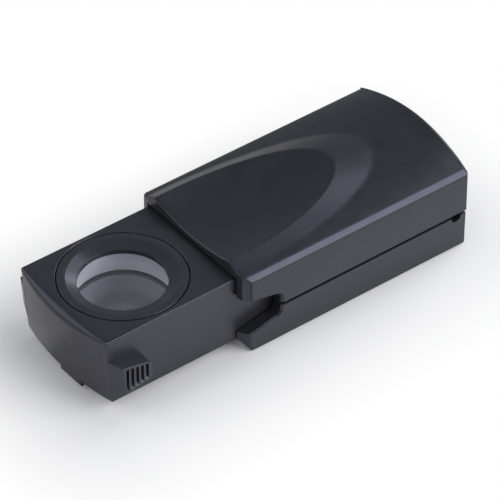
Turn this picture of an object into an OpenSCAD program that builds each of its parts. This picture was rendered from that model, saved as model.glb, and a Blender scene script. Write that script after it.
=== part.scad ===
// Pocket pull-out loupe: a two-shell case with a thumb dish, and a drawer that carries the lenses,
// the lamp and the button cells.
// X runs along the case, with the drawer leaving towards -X. Y runs across it and Z up from its base.
// The origin is the middle of the case's base. The drawer is drawn pulled out to its stop.

/* [Lenses] */
// Diameter of both lenses
lens_diameter = 20.9; // [18:0.1:24]
// Width of the flat rim round each lens
lens_rim = 1.1; // [0.8:0.1:1.6]
// Height of each dome of the upper lens above its rim
upper_dome = 0.4; // [0.2:0.05:0.8]
// Height of the dome of the lower lens above its rim
lower_dome = 0.75; // [0.4:0.05:1]
// Edge thickness of the upper lens
upper_lens_edge = 1.7; // [1.2:0.1:2.4]
// Edge thickness of the lower lens
lower_lens_edge = 0.9; // [0.8:0.1:1.6]
// Height of the pale spacer between the lenses
spacer_height = 4.7; // [3.6:0.1:5.2]
// Radial gap round what sits in the lens bore
lens_gap = 0.05; // [0.03:0.01:0.1]

/* [Eyepiece ring] */
// Width of the flange outside the lens bore
ring_flange = 1.95; // [1.6:0.05:2.4]
// Thickness of the flange
ring_thickness = 1.2; // [0.9:0.1:1.5]
// Height of the skirt that presses on the upper lens
ring_skirt = 0.8; // [0.6:0.1:1.2]
// How far the ring reaches in past the rim of the lens
ring_lip = 0.85; // [0.5:0.05:1.2]
// Width of the sloping inner face
ring_bevel = 2.2; // [1.5:0.1:2.6]
// Depth of the sloping inner face
ring_bevel_depth = 1.35; // [0.9:0.05:1.5]
// Thickness left at the ring's inner edge
ring_edge = 0.1; // [0.05:0.05:0.2]

/* [Light well] */
// Height of the barrel under the lenses
barrel_height = 4; // [3.9:0.1:5]
// Wall of the barrel
barrel_wall = 1.45; // [1.2:0.05:1.8]
// Thickness of the ledge that carries the lower lens
lens_ledge = 0.7; // [0.6:0.1:1.2]
// Thickness of the bottom cover
cover_thickness = 1; // [0.9:0.1:1.4]

/* [Drawer] */
// Wall between the ring's recess and the drawer's sides
drawer_rim = 0.85; // [0.6:0.05:1.2]
// Wall between the ring's recess and the top front corner line
drawer_front_rim = 1; // [0.6:0.05:1.2]
// Forward bow of the front face
front_bow = 1.6; // [1.2:0.1:2.2]
// How far the front face leans back at its foot
front_lean = 1.1; // [0.4:0.1:1.6]
// Radius along the top of the front face
front_round = 2.8; // [2.4:0.1:3.2]
// Thickness of the drawer's side and rear walls
drawer_wall = 1.5; // [1.2:0.1:1.8]
// Thickness of the drawer's roof over the cells
drawer_roof = 1.5; // [1.2:0.1:1.8]
// Rail left each side of the bottom cover
cover_rail = 1.35; // [1.1:0.05:1.6]
// How far the drawer pulls out
travel = 29.2; // [24:0.1:31]

/* [Grips] */
// Length of each side grip
grip_length = 8.2; // [7:0.1:9.5]
// Half height of a grip at its front
grip_front_half = 3.75; // [3:0.05:4]
// Half height of a grip at its rear
grip_rear_half = 1.9; // [1.8:0.1:2.4]
// Length of the slant at a grip's front
grip_slant = 1.9; // [1.4:0.1:2.4]
// Radius of the grip's rear corners
grip_nose = 1.2; // [0.8:0.1:1.4]
// Height of the grip's middle above the case's base
grip_level = 8.45; // [7.8:0.05:9]
// How far the grip's face stays inside the case's widest line
grip_inset = 0.3; // [0.2:0.05:0.6]
// Grooves in each grip
groove_count = 5; // [3:1:6]
// Width of a groove
groove_width = 0.6; // [0.4:0.05:0.7]
// Depth of a groove
groove_depth = 0.6; // [0.3:0.05:0.8]
// Distance from one groove to the next
groove_pitch = 1.1; // [0.8:0.05:1.3]
// Gap between a grip and the scoop that takes it
scoop_gap = 0.6; // [0.4:0.05:1]

/* [Lamp and cells] */
// Diameter of the lamp
led_diameter = 3; // [2.8:0.1:3.2]
// Downward tilt of the lamp
led_tilt = 15; // [8:1:18]
// Web between the light well and the cell bay
led_web = 2.15; // [1.8:0.05:2.6]
// Room for the lamp's leads in front of the cells
lead_room = 6.3; // [5.5:0.1:8]
// Diameter of a button cell
cell_diameter = 9.5; // [7.9:0.1:11.6]
// Thickness of a button cell
cell_thickness = 2.7; // [2.1:0.1:3.1]
// Radial gap round the cells
cell_gap = 0.25; // [0.15:0.05:0.4]
// Wall of the tube round the cells
well_wall = 1; // [0.8:0.1:1.4]
// Room for the switch behind the cells
switch_room = 2.8; // [2.6:0.1:3.6]
// Thickness of the contact sheet
sheet = 0.3; // [0.2:0.05:0.4]
// Diameter of the battery spring's wire
spring_wire = 0.5; // [0.3:0.05:0.6]

/* [Case] */
// Side wall of the case at the seam
side_wall = 2.85; // [2.6:0.05:3.4]
// Thickness of the floor
floor_thickness = 1.6; // [1.4:0.1:2.2]
// Running gap round the drawer
running_gap = 0.3; // [0.2:0.05:0.4]
// Solid block behind the drawer
rear_block = 4.2; // [3.8:0.1:5]
// Wall left behind the hollow in that block
rear_wall = 1.8; // [1.4:0.1:2.2]
// Height of the seam between the shells
seam_height = 8.6; // [8.2:0.1:9]
// Dark reveal between the shells
seam_reveal = 0.35; // [0.15:0.05:0.4]
// How far the lower shell stands inside the upper one
seam_step = 0.15; // [0.1:0.05:0.3]
// Inward lean of the side walls
side_draft = 0.4; // [0.2:0.05:0.6]
// Roof over the drawer at the shoulder line
shoulder_roof = 0.5; // [0.4:0.05:0.9]
// Bevel along the shoulders
shoulder_bevel = 1.05; // [0.7:0.05:1.3]
// Rise of the crowned top between the shoulders
crown_rise = 2.7; // [2.2:0.1:3.2]
// Backward bow of the rear face
rear_bow = 1.05; // [0.6:0.05:1.6]
// Bevel round the base
base_bevel = 0.7; // [0.4:0.05:1]
// Depth of the slope along the foot of the front face
front_foot = 2; // [1.4:0.1:2.4]
// Height of the slope along the foot of the front face
front_foot_height = 3.1; // [2.4:0.1:3.6]
// Length of the slanted front corners
corner_length = 1.6; // [1.2:0.1:2.4]
// Width of the slanted front corners
corner_width = 3.1; // [2.4:0.1:3.4]

/* [Thumb dish] */
// Distance from the front face to the tip of the ridge
dish_length = 30.9; // [26:0.1:36]
// Distance from the front face to the start of the ridge's curve
ridge_start = 2.4; // [1.8:0.1:3]
// Width of the dish's ridge at the front
dish_width = 23; // [20:0.1:25]
// Height of the ridge above the shoulders at the front
ridge_rise = 3; // [2.6:0.05:3.4]
// Rise of the ridge from front to tip
ridge_climb = 1.25; // [0.8:0.05:1.6]
// Distance from the front face to the lowest line of the dish
dish_low = 4.4; // [3:0.1:6]
// Depth of the dish's lowest line below the crown
dish_depth = 1.35; // [1:0.05:1.6]
// Radius of the dish across the case
dish_cross_radius = 70; // [55:1:90]
// Radius of the dish along the case
dish_long_radius = 150; // [120:1:190]
// Width of the mound's foot
mound_width = 29.6; // [28:0.1:30]
// Length of the mound's foot from the front face
mound_length = 60; // [52:1:80]

/* [Lanyard eye] */
// Radius of the cord's groove
eye_radius = 1.2; // [0.9:0.05:1.3]
// Distance from the rear corner to the groove
eye_setback = 2.5; // [2.3:0.05:3]
// Depth of the groove below the seam
eye_depth = 1.9; // [1.4:0.05:2.2]
// Width of the web that the cord loops round
eye_web = 0.5; // [0.3:0.05:0.8]
// How much narrower the groove is behind the web
eye_taper = 0.1; // [0.05:0.05:0.3]

/* [Hidden] */
$fn = 96;
// Small overlap that keeps cuts clean
cut = 1;

// Lens stack, measured as radii about the lens axis
lens_radius = lens_diameter / 2;
bore_radius = lens_radius + lens_gap;
rim_radius = lens_radius - lens_rim;
aperture_radius = rim_radius - ring_lip;
ring_radius = bore_radius + ring_flange;
recess_radius = ring_radius + lens_gap;
well_radius = lens_radius - barrel_wall;

// Heights of the drawer's stack
drawer_floor = floor_thickness + running_gap;
cover_top = drawer_floor + cover_thickness;
barrel_top = cover_top + barrel_height;
lens_seat = barrel_top + lens_ledge;
spacer_floor = lens_seat + lower_lens_edge;
upper_lens_floor = spacer_floor + spacer_height;
ring_floor = upper_lens_floor + upper_lens_edge;
flange_floor = ring_floor + ring_skirt;
drawer_top = flange_floor + ring_thickness;
drawer_height = drawer_top - drawer_floor;

// Drawer plan, with stations measured back from its top front corner line
drawer_width = 2 * (recess_radius + drawer_rim);
drawer_half = drawer_width / 2;
lens_station = recess_radius + drawer_front_rim;
bay_station = lens_station + bore_radius + led_web;
cell_radius = cell_diameter / 2;
well_inner = cell_radius + cell_gap;
well_outer = well_inner + well_wall;
cell_station = bay_station + lead_room + well_outer;
bay_end = cell_station + well_outer + switch_room;
drawer_length = bay_end + drawer_wall;
bay_half = drawer_half - drawer_wall;
bay_ceiling = drawer_top - drawer_roof;
cover_front = lens_station - bore_radius - running_gap;
cover_half = drawer_half - cover_rail;
round_share = 0.98;

// Case box
cavity_half = drawer_half + running_gap;
cavity_top = drawer_top + running_gap;
case_half = cavity_half + side_wall;
case_length = drawer_length + running_gap + rear_block;
front_x = -case_length / 2;
rear_x = case_length / 2;
cavity_end = front_x + drawer_length + running_gap;
shoulder_top = cavity_top + shoulder_roof;
wall_top = shoulder_top - shoulder_bevel;
wall_top_half = case_half - side_draft;
shoulder_half = wall_top_half - shoulder_bevel;
crown_top = shoulder_top + crown_rise;
crown_radius = (pow(shoulder_half, 2) + pow(crown_rise, 2)) / (2 * crown_rise);
rear_radius = (pow(case_half, 2) + pow(rear_bow, 2)) / (2 * rear_bow);
lower_half = case_half - seam_step;
base_half = lower_half - side_draft - base_bevel;
drawer_x = front_x - travel;
lens_x = drawer_x + lens_station;
cell_x = drawer_x + cell_station;
bay_x = drawer_x + bay_station;
bay_end_x = drawer_x + bay_end;

// Grip and the scoop round it
grip_half = case_half - grip_inset;
grip_slope = atan((grip_front_half - grip_rear_half) / grip_length);
groove_share = 0.86;
groove_start = grip_slant + 0.7 * groove_pitch;

// Stop lugs under the drawer and the tracks they run in
lug_length = 2.5;
track_depth = floor_thickness / 2;
lug_drop = track_depth;

// Lamp, with its tip just inside the barrel's wall
led_radius = led_diameter / 2;
led_recess = 0.4;
led_step = 0.01;
led_tip_x = lens_x + well_radius + led_recess;
led_tip_z = cover_top + barrel_height / 2;
led_body = led_web + barrel_wall + 1.5 * led_recess + lens_gap;
led_flange = 1;
led_flange_radius = led_radius + led_recess;
lead_size = 0.5;
lead_pitch = 1.27;
lead_stub = 1.2;
lead_back = led_radius + led_body + led_flange;
lead_x = led_tip_x + (lead_back + lead_stub) * cos(led_tilt);
lead_z = led_tip_z + (lead_back + lead_stub) * sin(led_tilt);

// Cells and contacts
cell_count = 3;
stack_top = bay_ceiling - sheet;
stack_floor = stack_top - cell_count * cell_thickness;
spring_floor = cover_top + sheet;
leaf_half = 1.5;
leaf_bump = 1.4;
leaf_bump_reach = 0.45;
leaf_bump_y = -well_outer + running_gap + leaf_bump / 2;
window_half = leaf_bump + running_gap;
contact_inset = 1;
plate_inset = 0.2;
cell_cap = 0.4;
cell_seal = 0.7;
tab_half = 1.4;
pry_tab_half = 3.2;
pry_tab_y = -2.4;
pry_tab_reach = 0.2;
pry_tab_drop = 0.8;

// Screws that hold the bottom cover
boss_radius = 2;
screw_y = bay_half - boss_radius - cell_gap - sheet;
screw_station = bay_station + lead_room + boss_radius + sheet;
screw_slot = 0.3;
screw_radius = 0.8;
screw_head_radius = 1.5;
screw_head = 0.6;
screw_length = 5;

// Pins that locate the shells
pin_radius = 0.6;
pin_length = 2;
pin_gap = 0.05;
pin_front_x = front_x + grip_length + scoop_gap + 2 * pin_length;
pin_side_y = (cavity_half + case_half) / 2;
pin_rear_x = cavity_end + rear_block / 2;
pin_rear_y = lower_half - corner_width - eye_radius - 3.5 * pin_radius;
core_half = pin_rear_y - 3 * pin_radius;
core_depth = rear_block - rear_wall;

// Block between two corners
module block(low, high) {
    translate(low) cube(high - low);
}

// Cylinder lying along X or Y from a start point
module bar_x(start, length, radius) {
    translate(start) rotate([0, 90, 0]) cylinder(r = radius, h = length);
}

module bar_y(start, length, radius) {
    translate(start) rotate([-90, 0, 0]) cylinder(r = radius, h = length);
}

// Plan of the case: straight sides, slanted front corners and a bowed rear
module case_plan(half, low, high) {
    intersection() {
        translate([0, 0, low]) linear_extrude(high - low) polygon([
            [front_x, -half + corner_width],
            [front_x + corner_length, -half],
            [rear_x + 2 * rear_bow, -half],
            [rear_x + 2 * rear_bow, half],
            [front_x + corner_length, half],
            [front_x, half - corner_width]
        ]);
        translate([rear_x + rear_bow - rear_radius, 0, low - cut])
            cylinder(r = rear_radius, h = high - low + 2 * cut, $fn = 360);
    }
}

// Section across the case, drawn in Y and Z and pushed along X past both ends
module along_case(points) {
    translate([front_x - cut, 0, 0]) rotate([90, 0, 90]) linear_extrude(case_length + rear_bow + 2 * cut)
        polygon(points);
}

// Grip outline in X and Z from its front corner, grown by a gap
function tongue(front, gap) =
    let (
        edge = grip_front_half + gap / cos(grip_slope),
        nose = grip_nose + gap,
        nose_x = grip_length - grip_nose,
        nose_z = edge - nose_x * tan(grip_slope) - nose / cos(grip_slope),
        steps = 8,
        upper = [for (i = [0 : steps])
            let (turn = (90 - grip_slope) * (1 - i / steps))
            [nose_x + nose * cos(turn), nose_z + nose * sin(turn)]]
    )
    concat(
        [[front, edge - front * tan(grip_slope)]],
        upper,
        [for (i = [steps : -1 : 0]) [upper[i][0], -upper[i][1]]],
        [[front, -edge + front * tan(grip_slope)]]
    );

// Tongue-shaped prism across the case, from one distance off the middle to another
module tongue_prism(x, front, gap, near, far) {
    translate([x, far, grip_level]) rotate([90, 0, 0]) linear_extrude(far - near)
        polygon(tongue(front, gap));
}

// Both scoops, open to the front
module scoops() {
    for (side = [0, 1]) mirror([0, side, 0])
        tongue_prism(front_x, -cut, scoop_gap, cavity_half - cut, case_half + cut);
}

// Ring of points of the mound: straight from the front, then half an ellipse
function mound_ring(reach, half, level, climb, steps) = [
    for (i = [-1 : steps + 1])
        let (
            turn = 180 * min(max(i, 0), steps) / steps,
            x = i < 0 || i > steps ? -2 * cut : ridge_start + (reach - ridge_start) * sin(turn)
        )
        [front_x + x, half * cos(turn), level + climb * x / reach]
];

// Mound that carries the ridge, lofted from its foot to the ridge line
module mound() {
    steps = 60;
    count = steps + 3;
    foot = mound_ring(mound_length, mound_width / 2, cavity_top, 0, steps);
    ridge = mound_ring(dish_length, dish_width / 2, shoulder_top + ridge_rise, ridge_climb, steps);
    sides = [for (i = [0 : count - 1])
        let (next = (i + 1) % count)
        each i < count / 2
            ? [[i, next, count + next], [i, count + next, count + i]]
            : [[i, next, count + i], [next, count + next, count + i]]];
    polyhedron(
        points = concat(foot, ridge),
        faces = concat(
            [[for (i = [count - 1 : -1 : 0]) i]],
            sides,
            [for (i = [1 : count - 2]) [count, count + i, count + i + 1]]
        )
    );
}

// Hollow of the dish, curved across and along the case
module dish() {
    translate([front_x + dish_low, 0, crown_top - dish_depth + dish_long_radius])
        rotate([90, 0, 0]) rotate_extrude($fn = 360) intersection() {
            translate([dish_long_radius - dish_cross_radius, 0]) circle(dish_cross_radius, $fn = 360);
            translate([dish_long_radius / 2, -case_half]) square([dish_long_radius, 2 * case_half]);
        }
}

// Space that the drawer runs in, with the cored rear block
module cavity(low, high) {
    block([front_x - cut, -cavity_half, low], [cavity_end, cavity_half, high]);
    block([cavity_end - cut, -core_half, low], [cavity_end + core_depth, core_half, high]);
}

// Places of the locating pins
module at_pins() {
    for (side = [-1, 1]) {
        translate([pin_front_x, side * pin_side_y, 0]) children();
        translate([pin_rear_x, side * pin_rear_y, 0]) children();
    }
}

module case_top() {
    color("#3a3b40") {
        difference() {
            intersection() {
                union() {
                    intersection() {
                        along_case([
                            [-case_half, seam_height],
                            [case_half, seam_height],
                            [wall_top_half, wall_top],
                            [wall_top_half - 3 * shoulder_bevel, wall_top + 3 * shoulder_bevel],
                            [-wall_top_half + 3 * shoulder_bevel, wall_top + 3 * shoulder_bevel],
                            [-wall_top_half, wall_top]
                        ]);
                        bar_x([front_x - 2 * cut, 0, crown_top - crown_radius],
                            case_length + rear_bow + 4 * cut, crown_radius, $fn = 360);
                    }
                    mound();
                }
                case_plan(case_half, seam_height - cut, crown_top + 3 * cut);
            }
            dish();
            cavity(seam_height - cut, cavity_top);
            scoops();
        }
        at_pins() translate([0, 0, seam_height - pin_length])
            cylinder(r = pin_radius, h = pin_length);
    }
}

// Groove that takes a cord round the rear corner
module lanyard_eye() {
    x = rear_x - eye_setback;
    y = -lower_half + corner_width + eye_web;
    level = seam_height - eye_depth + eye_radius;
    back_radius = eye_radius - eye_taper;
    bar_y([x, -case_half - cut, level], y + case_half + cut + back_radius, eye_radius);
    block([x - eye_radius, -case_half - cut, level], [x + eye_radius, y + back_radius, seam_height + cut]);
    bar_x([x, y, level], eye_setback + rear_bow + cut, back_radius);
    block([x, y - back_radius, level], [rear_x + rear_bow + cut, y + back_radius, seam_height + cut]);
}

// Slope along the foot of the front face and bevels along the other sides
module case_foot() {
    difference() {
        case_foot_ends();
        for (side = [0, 1]) mirror([0, side, 0])
            translate([front_x, -lower_half + corner_width, 0])
            rotate(atan2(-corner_width, corner_length))
            translate([-corner_length, 0, 0])
            rotate([90, 0, 90]) linear_extrude(4 * corner_length) polygon([
                [-cut, -cut],
                [base_bevel + cut, -cut],
                [-cut, base_bevel + cut]
            ]);
    }
}

module case_foot_ends() {
    intersection() {
        translate([0, case_half + cut, 0]) rotate([90, 0, 0]) linear_extrude(2 * (case_half + cut)) polygon([
            [front_x + front_foot, 0],
            [rear_x + 2 * rear_bow, 0],
            [rear_x + 2 * rear_bow, seam_height + cut],
            [front_x - cut, seam_height + cut],
            [front_x - cut, front_foot_height * (1 + cut / front_foot)]
        ]);
        translate([rear_x + rear_bow - rear_radius, 0, 0]) rotate_extrude($fn = 360) polygon([
            [0, -cut],
            [rear_radius - base_bevel - cut, -cut],
            [rear_radius + cut, base_bevel + cut],
            [rear_radius + cut, seam_height + cut],
            [0, seam_height + cut]
        ]);
    }
}

module case_bottom() {
    reveal_floor = seam_height - seam_reveal;
    color("#3a3b40") difference() {
        intersection() {
            along_case([
                [-base_half, 0],
                [base_half, 0],
                [base_half + base_bevel, base_bevel],
                [lower_half, reveal_floor],
                [case_half - 1.5 * seam_reveal, reveal_floor],
                [case_half - 1.5 * seam_reveal, seam_height],
                [-case_half + 1.5 * seam_reveal, seam_height],
                [-case_half + 1.5 * seam_reveal, reveal_floor],
                [-lower_half, reveal_floor],
                [-base_half - base_bevel, base_bevel]
            ]);
            case_plan(lower_half, -cut, seam_height + cut);
            case_foot();
        }
        cavity(floor_thickness, seam_height + cut);
        scoops();
        lanyard_eye();
        at_pins() translate([0, 0, seam_height - pin_length - running_gap])
            cylinder(r = pin_radius + pin_gap, h = pin_length + running_gap + cut);
        for (side = [0, 1]) mirror([0, side, 0])
            block([drawer_x + drawer_length - lug_length - running_gap, cover_half - running_gap,
                floor_thickness - track_depth], [cavity_end, cavity_half, floor_thickness + cut]);
    }
}

// Outer form of the drawer: bowed leaning front and a soft top front edge
module drawer_blank() {
    bow_radius = (pow(drawer_half, 2) + pow(front_bow, 2)) / (2 * front_bow);
    round_inset = round_share * front_round;
    round_x = drawer_x - front_bow + round_inset;
    round_z = drawer_top - round_inset;
    difference() {
        intersection() {
            block([drawer_x - 2 * front_bow, -drawer_half, drawer_floor],
                [drawer_x + drawer_length, drawer_half, drawer_top]);
            translate([drawer_x, 0, drawer_top])
                rotate([0, -atan(front_lean / drawer_height), 0])
                translate([bow_radius - front_bow, 0, -2 * drawer_height])
                cylinder(r = bow_radius, h = 3 * drawer_height, $fn = 360);
        }
        difference() {
            block([drawer_x - 3 * front_bow, -drawer_half - cut, round_z],
                [round_x, drawer_half + cut, drawer_top + cut]);
            bar_y([round_x, -drawer_half - 2 * cut, round_z], drawer_width + 4 * cut, front_round);
        }
    }
}

// Disc that cuts a boat-shaped groove of a given height
module groove(x, half_height) {
    radius = (pow(half_height, 2) + pow(groove_depth, 2)) / (2 * groove_depth);
    bar_x([x - groove_width / 2, grip_half + radius - groove_depth, grip_level], groove_width, radius);
}

// One side grip with its slanted front and its grooves
module grip() {
    difference() {
        intersection() {
            tongue_prism(drawer_x, 0, 0, drawer_half - drawer_wall / 2, grip_half);
            translate([drawer_x, 0, drawer_floor]) linear_extrude(drawer_height) polygon([
                [front_lean, drawer_half - drawer_wall],
                [front_lean / 2, drawer_half],
                [grip_slant, grip_half],
                [grip_length + cut, grip_half],
                [grip_length + cut, drawer_half - drawer_wall]
            ]);
        }
        for (i = [0 : groove_count - 1]) {
            station = groove_start + groove_pitch * i;
            groove(drawer_x + station, groove_share * (grip_front_half - station * tan(grip_slope)));
        }
    }
}

// Lamp's own frame: its tip at the origin and its body running back and up
module at_led() {
    translate([led_tip_x, 0, led_tip_z]) rotate([0, -led_tilt, 0]) children();
}

module at_screws() {
    for (side = [-1, 1]) translate([drawer_x + screw_station, side * screw_y, 0]) children();
}

module drawer_body() {
    color("#35363b") {
        difference() {
            union() {
                drawer_blank();
                for (side = [0, 1]) mirror([0, side, 0]) grip();
            }
            translate([lens_x, 0, flange_floor]) cylinder(r = recess_radius, h = ring_thickness + cut);
            translate([lens_x, 0, lens_seat]) cylinder(r = bore_radius, h = drawer_height);
            translate([lens_x, 0, drawer_floor - cut]) cylinder(r = well_radius, h = drawer_height);
            translate([lens_x, 0, drawer_floor - cut]) cylinder(r = bore_radius,
                h = barrel_top - drawer_floor + cut);
            block([drawer_x + cover_front, -cover_half, drawer_floor - cut],
                [bay_end_x, cover_half, cover_top]);
            block([drawer_x - 3 * front_bow, pry_tab_y - pry_tab_half - lens_gap, drawer_floor - cut],
                [drawer_x + cover_front + cut, pry_tab_y + pry_tab_half + lens_gap, cover_top]);
            difference() {
                block([bay_x, -bay_half, cover_top - cut], [bay_end_x, bay_half, bay_ceiling]);
                difference() {
                    translate([cell_x, 0, stack_floor]) cylinder(r = well_outer, h = drawer_height);
                    translate([cell_x, 0, cover_top]) cylinder(r = well_inner, h = drawer_height);
                    block([bay_x, -tab_half - running_gap, stack_top - running_gap],
                        [cell_x, tab_half + running_gap, drawer_top]);
                }
                at_screws() translate([0, 0, cover_top]) cylinder(r = boss_radius, h = drawer_height);
            }
            at_led() bar_x([-1.5 * barrel_wall, 0, 0], 3 * led_web + led_body, led_radius + lens_gap);
            at_led() bar_x([led_radius + led_body, 0, 0], led_web, led_flange_radius + lens_gap);
            at_screws() translate([0, 0, drawer_floor])
                cylinder(r = screw_radius + lens_gap, h = screw_length + screw_head);
            block([bay_end_x - cut, leaf_bump_y - window_half, lead_z - leaf_half - running_gap],
                [drawer_x + drawer_length + cut, leaf_bump_y + window_half, lead_z + leaf_half + running_gap]);
        }
        for (side = [0, 1]) mirror([0, side, 0])
            block([drawer_x + drawer_length - lug_length, cover_half + running_gap / 2,
                drawer_floor - lug_drop], [drawer_x + drawer_length, drawer_half - running_gap, drawer_floor]);
    }
}

module eyepiece_ring() {
    bevel_floor = drawer_top - ring_bevel_depth;
    color("#2d2e33") translate([lens_x, 0, 0]) rotate_extrude() polygon([
        [aperture_radius, bevel_floor - ring_edge],
        [rim_radius, ring_floor],
        [lens_radius, ring_floor],
        [lens_radius, flange_floor],
        [ring_radius, flange_floor],
        [ring_radius, drawer_top],
        [aperture_radius + ring_bevel, drawer_top],
        [aperture_radius, bevel_floor]
    ]);
}

// Dome of a given rise over a rim at the given level, facing up
module dome(level, rise) {
    radius = (pow(rim_radius, 2) + pow(rise, 2)) / (2 * rise);
    intersection() {
        translate([0, 0, level + rise - radius]) sphere(radius, $fn = 180);
        translate([0, 0, level]) cylinder(r = lens_radius, h = 2 * rise);
    }
}

module upper_lens() {
    color("#cfd6da", 0.4) translate([lens_x, 0, 0]) {
        translate([0, 0, upper_lens_floor]) cylinder(r = lens_radius, h = upper_lens_edge);
        dome(ring_floor, upper_dome);
        translate([0, 0, upper_lens_floor]) mirror([0, 0, 1]) dome(0, upper_dome);
    }
}

module lower_lens() {
    color("#cfd6da", 0.4) translate([lens_x, 0, 0]) {
        translate([0, 0, lens_seat]) cylinder(r = lens_radius, h = lower_lens_edge);
        dome(spacer_floor, lower_dome);
    }
}

module lens_spacer() {
    color("#d3d5da") translate([lens_x, 0, spacer_floor]) difference() {
        cylinder(r = lens_radius, h = spacer_height);
        translate([0, 0, -cut]) cylinder(r = rim_radius, h = spacer_height + 2 * cut);
    }
}

module light_barrel() {
    color("#9a9ca1") difference() {
        translate([lens_x, 0, cover_top]) cylinder(r = lens_radius, h = barrel_height);
        translate([lens_x, 0, cover_top - cut]) cylinder(r = well_radius, h = barrel_height + 2 * cut);
        at_led() bar_x([-1.5 * barrel_wall, 0, 0], 4 * barrel_wall, led_radius + lens_gap);
    }
}

module bottom_cover() {
    pry_tab_front = drawer_x - front_bow + front_lean - pry_tab_reach;
    color("#303136") difference() {
        union() {
            block([drawer_x + cover_front + lens_gap, -cover_half + lens_gap, drawer_floor],
                [bay_end_x - lens_gap, cover_half - lens_gap, cover_top]);
            block([pry_tab_front, pry_tab_y - pry_tab_half, drawer_floor],
                [drawer_x + cover_front + cut, pry_tab_y + pry_tab_half, cover_top - lens_gap]);
            block([pry_tab_front, pry_tab_y - pry_tab_half, drawer_floor - pry_tab_drop],
                [drawer_x - running_gap, pry_tab_y + pry_tab_half, drawer_floor]);
        }
        translate([lens_x, 0, drawer_floor - cut]) cylinder(r = well_radius, h = cover_thickness + 2 * cut);
        at_screws() translate([0, 0, drawer_floor - cut]) {
            cylinder(r = screw_radius + lens_gap, h = cover_thickness + 2 * cut);
            cylinder(r = screw_head_radius + lens_gap, h = screw_head + cut);
        }
    }
}

module cover_screws() {
    color("#b9bcc2") at_screws() translate([0, 0, drawer_floor]) difference() {
        union() {
            cylinder(r = screw_head_radius, h = screw_head);
            cylinder(r = screw_radius, h = screw_length);
        }
        for (turn = [0, 90]) rotate(turn)
            block([-screw_radius, -screw_slot / 2, -cut], [screw_radius, screw_slot / 2, screw_head / 2]);
    }
}

module led() {
    color("#f3f5ee") at_led() {
        translate([led_radius, 0, 0]) sphere(led_radius);
        bar_x([led_radius, 0, 0], led_body + led_flange / 2, led_radius - led_step);
        bar_x([led_radius + led_body, 0, 0], led_flange, led_flange_radius);
    }
}

// Stub of a lead, straight out of the lamp's back
module lead_stub_at(side) {
    at_led() block([lead_back, side * lead_pitch / 2 - lead_size / 2, -lead_size / 2],
        [lead_back + lead_stub, side * lead_pitch / 2 + lead_size / 2, lead_size / 2]);
}

module anode_lead() {
    color("#c3c6cb") {
        lead_stub_at(1);
        block([lead_x - lead_size, (lead_pitch - lead_size) / 2, lead_z - lead_size / 2],
            [lead_x, (lead_pitch + lead_size) / 2, stack_top]);
    }
}

module cathode_lead() {
    color("#c3c6cb") {
        lead_stub_at(-1);
        block([lead_x - lead_size, -bay_half + sheet, lead_z - lead_size / 2],
            [lead_x, -(lead_pitch - lead_size) / 2, lead_z + lead_size / 2]);
    }
}

module positive_contact() {
    color("#c8a95a") {
        block([lead_x - 2 * lead_size, -tab_half, stack_top], [cell_x, tab_half, bay_ceiling]);
        translate([cell_x, 0, stack_top]) cylinder(r = cell_radius - contact_inset, h = sheet);
    }
}

module negative_contact() {
    tab_x = bay_end_x - sheet;
    color("#c8a95a") {
        translate([cell_x, 0, cover_top]) cylinder(r = cell_radius - plate_inset, h = sheet);
        block([cell_x, leaf_bump_y - tab_half, cover_top], [tab_x, leaf_bump_y + tab_half, cover_top + sheet]);
        block([tab_x - sheet, leaf_bump_y - tab_half, cover_top],
            [tab_x, leaf_bump_y + tab_half, lead_z + leaf_half]);
    }
}

module switch_leaf() {
    low = lead_z - leaf_half;
    high = lead_z + leaf_half;
    color("#c8a95a") {
        block([bay_x + running_gap, -bay_half, low], [bay_end_x, -bay_half + sheet, high]);
        block([bay_end_x - sheet, -bay_half, low], [bay_end_x, leaf_bump_y + tab_half, high]);
        intersection() {
            translate([bay_end_x - sheet + drawer_wall / 2 + leaf_bump_reach - leaf_bump / 2, leaf_bump_y, low])
                cylinder(r = leaf_bump, h = 2 * leaf_half);
            block([bay_end_x - sheet, leaf_bump_y - 2 * leaf_bump, low],
                [bay_end_x + 2 * drawer_wall, leaf_bump_y + 2 * leaf_bump, high]);
        }
    }
}

// Conical spring: a round wire swept along a rising, narrowing coil
module battery_spring() {
    wire = spring_wire / 2;
    turns = 3;
    steps = 20 * turns;
    sides = 8;
    low_radius = cell_radius - contact_inset;
    high_radius = cell_radius / 2;
    low = spring_floor + wire;
    high = stack_floor - wire;
    ring_points = [for (i = [0 : steps]) let (
            share = i / steps,
            turn = 360 * turns * share,
            radius = low_radius + (high_radius - low_radius) * share,
            level = low + (high - low) * share
        )
        for (j = [0 : sides - 1]) let (
            roll = 360 * j / sides,
            reach = radius + wire * cos(roll)
        )
        [reach * cos(turn), reach * sin(turn), level + wire * sin(roll)]];
    skin = [for (i = [0 : steps - 1]) for (j = [0 : sides - 1]) let (
            a = i * sides + j,
            b = i * sides + (j + 1) % sides
        )
        each [[a, b, b + sides], [a, b + sides, a + sides]]];
    color("#c3c6cb") translate([cell_x, 0, 0]) polyhedron(
        points = ring_points,
        faces = concat(
            [[for (j = [sides - 1 : -1 : 0]) j]],
            skin,
            [[for (j = [0 : sides - 1]) steps * sides + j]]
        )
    );
}

// Button cell: a can with a narrower cap, counted from the bottom of the stack
module button_cell(index) {
    color("#b4b7bd") translate([cell_x, 0, stack_floor + index * cell_thickness]) {
        cylinder(r = cell_radius - cell_seal, h = 2 * cell_cap);
        translate([0, 0, cell_cap]) cylinder(r = cell_radius, h = cell_thickness - cell_cap);
    }
}

module button_cell_1() { button_cell(0); }
module button_cell_2() { button_cell(1); }
module button_cell_3() { button_cell(2); }

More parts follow.
